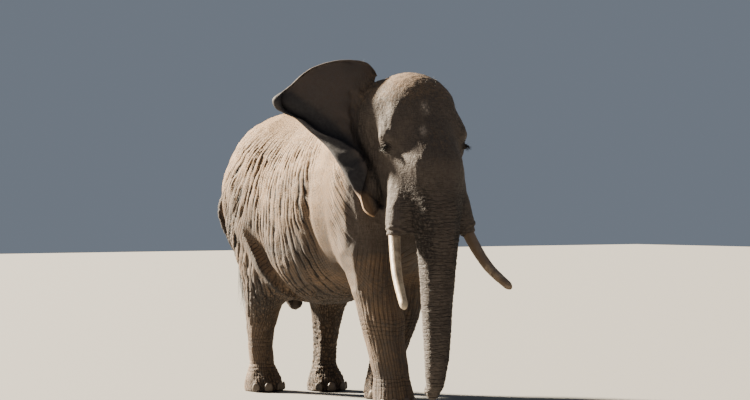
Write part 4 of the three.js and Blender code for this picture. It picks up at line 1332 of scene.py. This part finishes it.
# %% Cut the folds
def folds_tree():
    tree = bpy.data.node_groups.new("skin_folds", "GeometryNodeTree")
    tree.interface.new_socket("Geometry", in_out="INPUT", socket_type="NodeSocketGeometry")
    tree.interface.new_socket("Depth", in_out="INPUT", socket_type="NodeSocketFloat").default_value = 1.0
    tree.interface.new_socket("Look", in_out="INPUT", socket_type="NodeSocketMaterial")
    tree.interface.new_socket("Geometry", in_out="OUTPUT", socket_type="NodeSocketGeometry")
    t = Tree(tree)
    given = t.node("NodeGroupInput").outputs
    amount = t.times(t.times(fold_depth(t), t.weight("loose")), t.times(given["Depth"], -1.0))
    inward = t.vector("SCALE", t.node("GeometryNodeInputNormal").outputs[0], scale=amount)
    moved = t.node("GeometryNodeSetPosition", {"Geometry": given["Geometry"], "Offset": inward})
    real = t.node("GeometryNodeRealizeInstances", {"Geometry": moved.outputs[0]})
    looked = t.node("GeometryNodeSetMaterial", {"Geometry": real.outputs[0], "Material": given["Look"]})
    t.feed(t.node("NodeGroupOutput").inputs[0], looked.outputs[0])
    return tree


def through_tree(obj, tree, **inputs):
    """Runs obj's mesh through a tree with the given inputs, and keeps the result as a plain mesh."""
    modifier = obj.modifiers.new("tree", "NODES")
    modifier.node_group = tree
    sockets = {item.name: item.identifier for item in tree.interface.items_tree if item.in_out == "INPUT"}
    for name, value in inputs.items():
        modifier[sockets[name]] = value
    bpy.context.view_layer.update()
    result = bpy.data.meshes.new_from_object(obj.evaluated_get(bpy.context.evaluated_depsgraph_get()))
    obj.modifiers.clear()
    obj.data = result
    return result


keep(skin.data, "loose", ramp(0.05, 0.12, from_eyes(points_of(skin.data))))
skin.data.materials.clear()
through_tree(skin, folds_tree(), Depth=1.0, Look=skin_look)
print("folds cut:", len(skin.data.vertices), "points, looks:", [look.name for look in skin.data.materials])

# %% [markdown]
# ## A lighter mesh
# The skin has more triangles than it needs where it is smooth. Decimation takes points from the flat places
# first and leaves the folds. A vertex group keeps it away from the eyes. The weights are then worked out
# again for the points that are left, and the skin takes the place of all the solids that it covers.

# %% Decimate
TRIANGLES = 196000


def triangles_in(mesh):
    return sum(len(face.vertices) - 2 for face in mesh.polygons)


group = skin.vertex_groups.new(name="may_thin")
for index, amount in enumerate(ramp(0.08, 0.2, from_eyes(points_of(skin.data)))):
    group.add([index], float(amount), "REPLACE")
with_modifier(skin, "DECIMATE", ratio=TRIANGLES / triangles_in(skin.data), use_collapse_triangulate=True,
              vertex_group="may_thin", vertex_group_factor=1.0)
keep_weights(skin.data, skin_places(skin.data))
skin.data.shade_smooth()
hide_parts(*FLESH, "tail", "ear_right", "ear_left")
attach(skin, "root")
print("skin:", len(skin.data.polygons), "triangles")

# %% [markdown]
# ## Hair
# An elephant has little hair, but what it has is coarse: long wires in two rows at the end of the tail,
# lashes along the upper lids, and scattered bristles on the brow, the chin, the trunk and the back. One
# Geometry Nodes tree grows all three on a copy of the skin, where a named weight allows it. Particle hair
# would be quicker to comb, but it isn't a mesh and would be lost outside Blender.

# %% Where hair grows
HAIR_PATCH = 0.003                           # what a hair takes up on the skin's flat map


def unwrapped(p):
    """A place on a flat map for each point. Body, head and tail are each rolled out round their own axis."""
    x, y, z = p.T
    h = to_head(p)
    body = np.stack((0.02 + 0.21 * (np.arctan2(x - MIDDLE_X, z - 2.1) / pi + 1), 0.5 + y / 5), 1)
    head = np.stack((0.50 + 0.21 * (np.arctan2(h[:, 0], -h[:, 1] - 0.2) / pi + 1), 0.74 + h[:, 2] / 4), 1)
    round_tail = np.arctan2(x - tail_path[-1][0], y - tail_path[-1][1])
    tail = np.stack((0.94 + 0.025 * (round_tail / pi + 1), z / 3), 1)
    on_tail = path_distance(p, tail_path[2:]) < 0.09
    flat = np.where(((h[:, 1] < 0.1) & (z > 0.1) & (h[:, 2] > -2.5) & (y < -0.9))[:, None], head, body)
    return np.column_stack((np.where(on_tail[:, None], tail, flat), np.zeros(len(p))))


def hair_weights(p, n):
    """Where each kind of hair grows, and which way it lies."""
    h = to_head(p)
    tail = (path_distance(p, tail_path[-2:]) < 0.06) * ramp(1.50, 1.30, p[:, 2])
    lie = n * 0.9 + np.array((0, 0.25, -0.45))
    near_tail = path_distance(p, tail_path[-4:]) < 0.12
    lie = np.where(near_tail[:, None], n * 0.08 + np.array((0, -0.06, -1.0)), lie)
    lash = np.zeros(len(p))
    for side in ("right", "left"):
        along, up, out = eye_axes(side)
        s, t, height = eye_places(p, side)
        here = (np.abs(slit_edge(s, t) - 1.6) < 0.5) & (t > 0) & (np.abs(s) < 0.92 * SLIT_HALF) & (height > 0)
        lash = np.where(here, 1, lash)
        lie = np.where(here[:, None], out * 0.8 - up * 0.55 + along * (s[:, None] * 9), lie)
    brow = bell(h[:, 2] - 0.62, 0.25) * (np.abs(h[:, 0]) < 0.42) * (h[:, 1] < 0.25)
    chin = bell(np.linalg.norm(h - (0, -0.40, -0.80), axis=1), 0.22)
    snout = (h[:, 1] < -0.3) * (h[:, 2] < 0) * (p[:, 1] < -1.2)
    back = bell(p[:, 0] - MIDDLE_X, 0.25) * (p[:, 2] > 2.6) * (p[:, 1] > -0.9)
    thin = 0.8 * brow + 1.5 * chin + 0.35 * snout + 0.5 * back
    return {"hair_tail": tail, "hair_lash": lash, "hair_thin": thin}, lie


hair_bed = skin.data.copy()
bed_points = points_of(hair_bed)
weights, lie = hair_weights(bed_points, normals_of(hair_bed))
for name, values in {**weights, "lie": lie, "flat_map": unwrapped(bed_points)}.items():
    keep(hair_bed, name, values)
print("hair grows on:", {name: int((values > 0.05).sum()) for name, values in weights.items()}, "points")

# %% [markdown]
# ## One hair, many times
# A hair is a line, bent and given a thickness that falls to its tip. The tree scatters points where hair
# grows, stands one hair on each, turned to the lie of the coat with a little disorder, and makes the copies
# real.

# %% Hair nodes
HAIR_INPUTS = [("Geometry", "Geometry", None), ("Weight", "String", ""), ("Density", "Float", 100.0),
               ("Length", "Float", 0.05), ("Thickness", "Float", 0.001), ("Bend", "Float", 0.2),
               ("Disorder", "Float", 0.3), ("Seed", "Int", 1), ("Look", "Material", None)]


def one_hair(t, given):
    """A closed, tapered thread of length 1, standing on the origin."""
    line = t.node("GeometryNodeCurvePrimitiveLine", {"End": (0, 0, 1)})
    line = t.node("GeometryNodeResampleCurve", {"Curve": line.outputs[0], "Count": 6})
    along = t.node("GeometryNodeSplineParameter").outputs["Factor"]
    sideways = t.times(t.times(along, along), given["Bend"])
    offset = t.node("ShaderNodeCombineXYZ", {0: sideways, 2: t.times(sideways, -0.3)})
    curve = t.node("GeometryNodeSetPosition", {"Geometry": line.outputs[0], "Offset": offset.outputs[0]})
    radius = t.times(t.math("DIVIDE", given["Thickness"], given["Length"]), t.less(t.times(along, 0.85)))
    curve = t.node("GeometryNodeStoreNamedAttribute", {"Geometry": curve.outputs[0], "Name": "up_hair",
                                                       "Value": along}, data_type="FLOAT")
    ring = t.node("GeometryNodeCurvePrimitiveCircle", {"Resolution": 3, "Radius": 1.0})
    hair = {"Curve": curve.outputs[0], "Profile Curve": ring.outputs[0], "Scale": radius, "Fill Caps": True}
    return t.node("GeometryNodeCurveToMesh", hair).outputs[0]


def random(t, low, high, seed):
    return t.node("FunctionNodeRandomValue", {2: low, 3: high, "Seed": seed}).outputs[1]


print("hair inputs:", [name for name, kind, value in HAIR_INPUTS])

# %% Hair tree
def hair_tree():
    tree = bpy.data.node_groups.new("hairs", "GeometryNodeTree")
    for name, kind, value in HAIR_INPUTS:
        socket = tree.interface.new_socket(name, in_out="INPUT", socket_type="NodeSocket" + kind)
        if value is not None:
            socket.default_value = value
    tree.interface.new_socket("Geometry", in_out="OUTPUT", socket_type="NodeSocketGeometry")
    t = Tree(tree)
    given = t.node("NodeGroupInput").outputs
    allowed = t.node("GeometryNodeInputNamedAttribute", {"Name": given["Weight"]}, data_type="FLOAT")
    roots = t.node("GeometryNodeDistributePointsOnFaces", {
        "Mesh": given["Geometry"], "Density": t.times(allowed.outputs[0], given["Density"]),
        "Seed": given["Seed"]})
    disorder = t.node("FunctionNodeRandomValue", {0: (-1, -1, -1), 1: (1, 1, 1), "Seed": 11},
                      data_type="FLOAT_VECTOR").outputs[0]
    way = t.vector("ADD", t.flow("lie"), t.vector("SCALE", disorder, scale=given["Disorder"]))
    facing = t.node("FunctionNodeAlignRotationToVector", {"Vector": way}, axis="Z").outputs[0]
    spin = random(t, 0.0, 2 * pi, 12)
    twist = t.node("FunctionNodeAxisAngleToRotation", {"Axis": (0, 0, 1), "Angle": spin})
    turned = t.node("FunctionNodeRotateRotation", {0: facing, 1: twist.outputs[0]}, rotation_space="LOCAL")
    placed = t.node("GeometryNodeInstanceOnPoints", {
        "Points": roots.outputs["Points"], "Instance": one_hair(t, given), "Rotation": turned.outputs[0],
        "Scale": t.times(random(t, 0.5, 1.0, 13), given["Length"])})
    real = t.node("GeometryNodeRealizeInstances", {"Geometry": placed.outputs[0]})
    patch = t.node("ShaderNodeCombineXYZ", {0: t.times(t.part(t.place(), "X"), 0.01),
                                            1: t.times(t.weight("up_hair"), HAIR_PATCH)})
    mapped = t.node("GeometryNodeStoreNamedAttribute", {
        "Geometry": real.outputs[0], "Name": "OFBake",
        "Value": t.vector("ADD", t.flow("flat_map"), patch.outputs[0])}, data_type="FLOAT2", domain="CORNER")
    looked = t.node("GeometryNodeSetMaterial", {"Geometry": mapped.outputs[0], "Material": given["Look"]})
    t.feed(t.node("NodeGroupOutput").inputs[0], looked.outputs[0])
    return tree


hair_nodes = hair_tree()
print("hair tree:", len(hair_nodes.nodes), "nodes")

# %% Grow hair
BLACK_HAIR = (0.006, 0.005, 0.005, 1)
BROWN_HAIR = (0.028, 0.021, 0.016, 1)
KEPT_LAYERS = ("OFBake", "position", "material_index")


def hair_material():
    made, t, shader = material("elephant_hair")
    tone = t.noise(t.place(), 45.0, 3.0, 0.6)
    finish(t, shader, blend(t, tone, BLACK_HAIR, BROWN_HAIR), t.steps(tone, 0.3, 0.7, 0.35, 0.6))
    return made


hair_look = hair_material()


def grow(name, **numbers):
    """Grows one kind of hair and keeps it as a plain mesh with its flat map."""
    hair = show(name, hair_bed.copy())
    grown = through_tree(hair, hair_nodes, Look=hair_look, **numbers)
    for layer in [a.name for a in grown.attributes
                  if a.name not in KEPT_LAYERS and not a.is_internal and not a.is_required]:
        grown.attributes.remove(grown.attributes[layer])
    grown.shade_smooth()
    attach(hair, "root")
    print(name, len(grown.polygons), "faces, maps:", [m.name for m in grown.uv_layers])
    return hair


tail_hair = grow("tail_hair", Weight="hair_tail", Density=9000.0, Length=0.46, Thickness=0.0016, Bend=0.06,
                 Disorder=0.05, Seed=3)
grow("eyelashes", Weight="hair_lash", Density=140000.0, Length=0.070, Thickness=0.0007, Bend=0.25,
     Disorder=0.15, Seed=4)
grow("bristles", Weight="hair_thin", Density=320.0, Length=0.050, Thickness=0.0005, Bend=0.30,
     Disorder=0.45, Seed=5)
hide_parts("tail_tuft")

# %% [markdown]
# ## Tusks
# A tusk is a curved, slowly tapering rod of ivory, worn blunt at its tip. It is swept along its curve again
# with many rings, so its outline is smooth. Fine lengthwise ridges and brown stains near the lip come from
# the material. The left tusk gets a larger stained share, which is painted shade.

# %% Tusks
TUSK_LINE = {
    "right": [(-0.34, -0.48, -0.48), (-0.405, -0.6, -0.79), (-0.49, -0.86, -1.2), (-0.528, -1.13, -1.515)],
    "left": [(0.325, -0.49, -0.48), (0.365, -0.6, -0.79), (0.465, -0.85, -1.14), (0.565, -1.18, -1.36)]}
TUSK_STAIN_AND_SHADE = {"right": 0.10, "left": 0.36}    # how far its stains spread; the left tusk's larger share is painted shade
IVORY = (0.46, 0.37, 0.26, 1)
STAINED_AND_SHADED_IVORY = (0.15, 0.105, 0.07, 1)
CRACKED_IVORY = (0.16, 0.11, 0.075, 1)


def tusk_radius(t):
    worn = np.sqrt(np.maximum(1 - ramp(0.93, 1.02, t) ** 2, 0.0))
    return (0.070 - 0.030 * t) * worn * (1 + 0.01 * np.sin(t * 40) + 0.006 * np.sin(t * 93))


def ivory_material():
    made, t, shader = material("ivory")
    place = t.place()
    along = t.weight("along")
    ridges = t.noise(t.stretched(place, (1.0, 1.0, 0.12)), 90.0, 3.0, 0.6)
    blotch = t.noise(place, 7.0, 5.0, 0.65)
    # stains, and on the left tusk painted shade through its larger stained share
    stain = t.steps(t.add(blotch, t.add(t.times(t.less(along), 0.30), t.weight("stained"))), 0.55, 0.95)
    cracks = furrows(t, place, (1.0, 1.0, 0.1), 0.05, 0.03, 3.0)
    colour = blend(t, stain, IVORY, STAINED_AND_SHADED_IVORY)
    colour = blend(t, t.times(t.less(cracks), 0.6), colour, CRACKED_IVORY)
    height = t.mixed((ridges, 0.0012), (cracks, 0.0008))
    finish(t, shader, colour, t.steps(blotch, 0.3, 0.7, 0.32, 0.5), height, strength=0.6)
    return made


def share_along(points, line):
    """How far along the straight way from a line's first point to its last each point lies, from 0 to 1."""
    start, way = line[0], line[-1] - line[0]
    return np.clip((points - start) @ way / np.dot(way, way), 0, 1)


ivory_look = ivory_material()
for side, line in TUSK_LINE.items():
    tusk = show(f"ivory_{side}", tube(f"ivory_{side}", from_head(line), tusk_radius, 110, 40))
    p = points_of(tusk.data)
    keep(tusk.data, "along", share_along(p, from_head(line)))
    keep(tusk.data, "stained", np.full(len(p), TUSK_STAIN_AND_SHADE[side]))
    tusk.data.shade_smooth()
    tusk.data.materials.append(ivory_look)
    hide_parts(f"tusk_{side}")
    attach(tusk, "root")
print("tusks:", len(TUSK_LINE))

# %% [markdown]
# ## Eyes
# The eyeball is a smooth ball with a slightly raised cornea. Its brown iris and black pupil are drawn by
# the material from the distance to the ball's outward axis, which stays right from every side.

# %% Eyes
EYE_RADIUS = 0.0268
BALL = 0.96                                  # the ball's radius beside that
CORNEA = 0.09                                # how much further out the cornea stands
PUPIL_AT, IRIS_AT = (0.955, 0.975), (0.74, 0.80)    # where each begins, as the cosine from the outward axis
PUPIL = (0.004, 0.003, 0.003, 1)
IRIS_DARK = (0.045, 0.018, 0.006, 1)
IRIS_LIGHT = (0.20, 0.085, 0.025, 1)
EYE_WHITE = (0.14, 0.10, 0.085, 1)


def eye_mesh(side):
    along, up, out = eye_axes(side)
    bm = bmesh.new()
    bmesh.ops.create_uvsphere(bm, u_segments=32, v_segments=24, radius=1.0)
    for vert in bm.verts:
        d = np.array(vert.co)
        reach = EYE_RADIUS * BALL * (1 + CORNEA * float(ramp(0.80, 0.97, d[2])))
        vert.co = eye_centre[side] + (along * d[0] + up * d[1] + out * d[2]) * reach
    mesh = bpy.data.meshes.new(f"eye_ball_{side}")
    bm.to_mesh(mesh)
    bm.free()
    keep(mesh, "facing", (points_of(mesh) - eye_centre[side]) @ out / EYE_RADIUS)
    mesh.shade_smooth()
    return mesh


def eye_material():
    made, t, shader = material("eye")
    facing = t.weight("facing")
    streaks = t.noise(t.place(), 320.0, 2.0, 0.6)
    iris = blend(t, streaks, IRIS_DARK, IRIS_LIGHT)
    colour = blend(t, t.steps(facing, *PUPIL_AT), iris, PUPIL)
    colour = blend(t, t.less(t.steps(facing, *IRIS_AT)), colour, EYE_WHITE)
    finish(t, shader, colour, 0.12)
    shader.inputs["Coat Weight"].default_value = 0.8
    shader.inputs["Coat Roughness"].default_value = 0.03
    return made


eye_look = eye_material()
for side in ("right", "left"):
    eye = show(f"eye_ball_{side}", eye_mesh(side))
    eye.data.materials.append(eye_look)
    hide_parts(f"eye_{side}")
    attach(eye, "root")
    print(eye.name, "at", np.round(eye_centre[side], 3))

# %% [markdown]
# ## Nails
# Each toenail is a broad, slightly domed plate of horn, arched at its top. Its solid is a coarse one in the
# right place, so its width, height and depth are measured from it, and a smooth plate is made from them.

# %% Nail horn
HORN = (0.11, 0.084, 0.062, 1)
DARK_HORN = (0.055, 0.042, 0.032, 1)
PALE_HORN = (0.14, 0.11, 0.082, 1)


def nail_material():
    made, t, shader = material("nail_horn")
    bands = t.noise(t.stretched(t.place(), (0.4, 0.4, 1.0)), 60.0, 3.0, 0.6)
    stain = t.noise(t.place(), 14.0, 4.0, 0.6)
    colour = blend(t, t.steps(stain, 0.35, 0.7), HORN, DARK_HORN)
    colour = blend(t, t.times(bands, 0.4), colour, PALE_HORN)
    finish(t, shader, colour, t.steps(bands, 0.3, 0.7, 0.45, 0.7), t.times(bands, 0.0015), strength=0.7)
    return made


nail_look = nail_material()
print("nail material:", len(nail_look.node_tree.nodes), "nodes")

# %% Nails
NAIL_BOXY = 3.2                              # 2 would be an ellipsoid, and more is squarer
NAIL_PLATE = np.array((1.12, 1.38, 0.80))    # the plate's width, height and depth beside the solid's
NAIL_ARCH = 0.34                             # how much narrower and thinner the plate is at its top


def nail_plate(bm, points):
    """Adds a rounded plate that lies as the points do."""
    centre = (points.min(0) + points.max(0)) / 2
    flat = (points - centre)[:, :2]
    out = np.linalg.eigh(flat.T @ flat)[1][:, 0]
    axes = np.array(((-out[1], out[0], 0), (0, 0, 1), (out[0], out[1], 0)))
    half = np.abs((points - centre) @ axes.T).max(0)
    for vert in bmesh.ops.create_uvsphere(bm, u_segments=28, v_segments=20, radius=1.0)["verts"]:
        d = np.array(vert.co)
        boxy = d / (np.abs(d) ** NAIL_BOXY).sum() ** (1 / NAIL_BOXY)
        arch = 1 - NAIL_ARCH * (0.5 + boxy[1] / 2) ** 2
        vert.co = centre + (boxy * half * NAIL_PLATE * (arch, 1, arch)) @ axes


bm = bmesh.new()
for name in NAIL_NAMES:
    nail_plate(bm, points_of(nodes[name].data))
bmesh.ops.recalc_face_normals(bm, faces=bm.faces)
nails = show("toenails", bpy.data.meshes.new("toenails"))
bm.to_mesh(nails.data)
bm.free()
nails.data.shade_smooth()
nails.data.materials.append(nail_look)
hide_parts(*NAIL_NAMES)
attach(nails, "root")
print("nails:", len(NAIL_NAMES))

# %% [markdown]
# ## Light and floor
# One distant, slightly soft light stands behind the animal's right side, so the flank is bright and the
# spread ear's shadow falls on the face. A distant light falls evenly on the whole floor, which a near lamp
# would not. The world's pale blue and a broad, weak lamp in front fill in the rest.

# %% Studio
def light(name, kind, at, towards, power, colour, **settings):
    lamp = bpy.data.objects.new(name, bpy.data.lights.new(name, kind))
    lamp.data.energy = power
    lamp.data.color = colour
    for key, value in settings.items():
        setattr(lamp.data, key, value)
    lamp.location = at
    lamp.rotation_euler = (Vector(towards) - Vector(at)).to_track_quat("-Z", "Y").to_euler()
    bpy.context.scene.collection.objects.link(lamp)


FLOOR_HALF = 60.0
FLOOR_COLOUR = (0.20, 0.195, 0.185, 1)
SKY_COLOUR, SKY_STRENGTH = (0.66, 0.77, 0.94, 1), 0.24

light("key", "SUN", (-5.6, 12.4, 9.0), (0, 0.2, 1.7), 42.0, (1.0, 0.87, 0.68), angle=radians(6))
light("fill", "AREA", (-10, -17, 6), (0, 0, 1.6), 100.0, (0.86, 0.92, 1.0), size=9.0)
corners = [(x * FLOOR_HALF, y * FLOOR_HALF, 0) for x, y in ((-1, -1), (1, -1), (1, 1), (-1, 1))]
floor_mesh = bpy.data.meshes.new("floor")
floor_mesh.from_pydata(corners, [], [(0, 1, 2, 3)])
floor = show("floor", floor_mesh)
floor_look, t, shader = material("floor")
finish(t, shader, FLOOR_COLOUR, 0.9)
floor.data.materials.append(floor_look)
world = bpy.data.worlds.new("studio")
world.use_nodes = True
background = world.node_tree.nodes["Background"]
background.inputs["Color"].default_value = SKY_COLOUR
background.inputs["Strength"].default_value = SKY_STRENGTH
bpy.context.scene.world = world
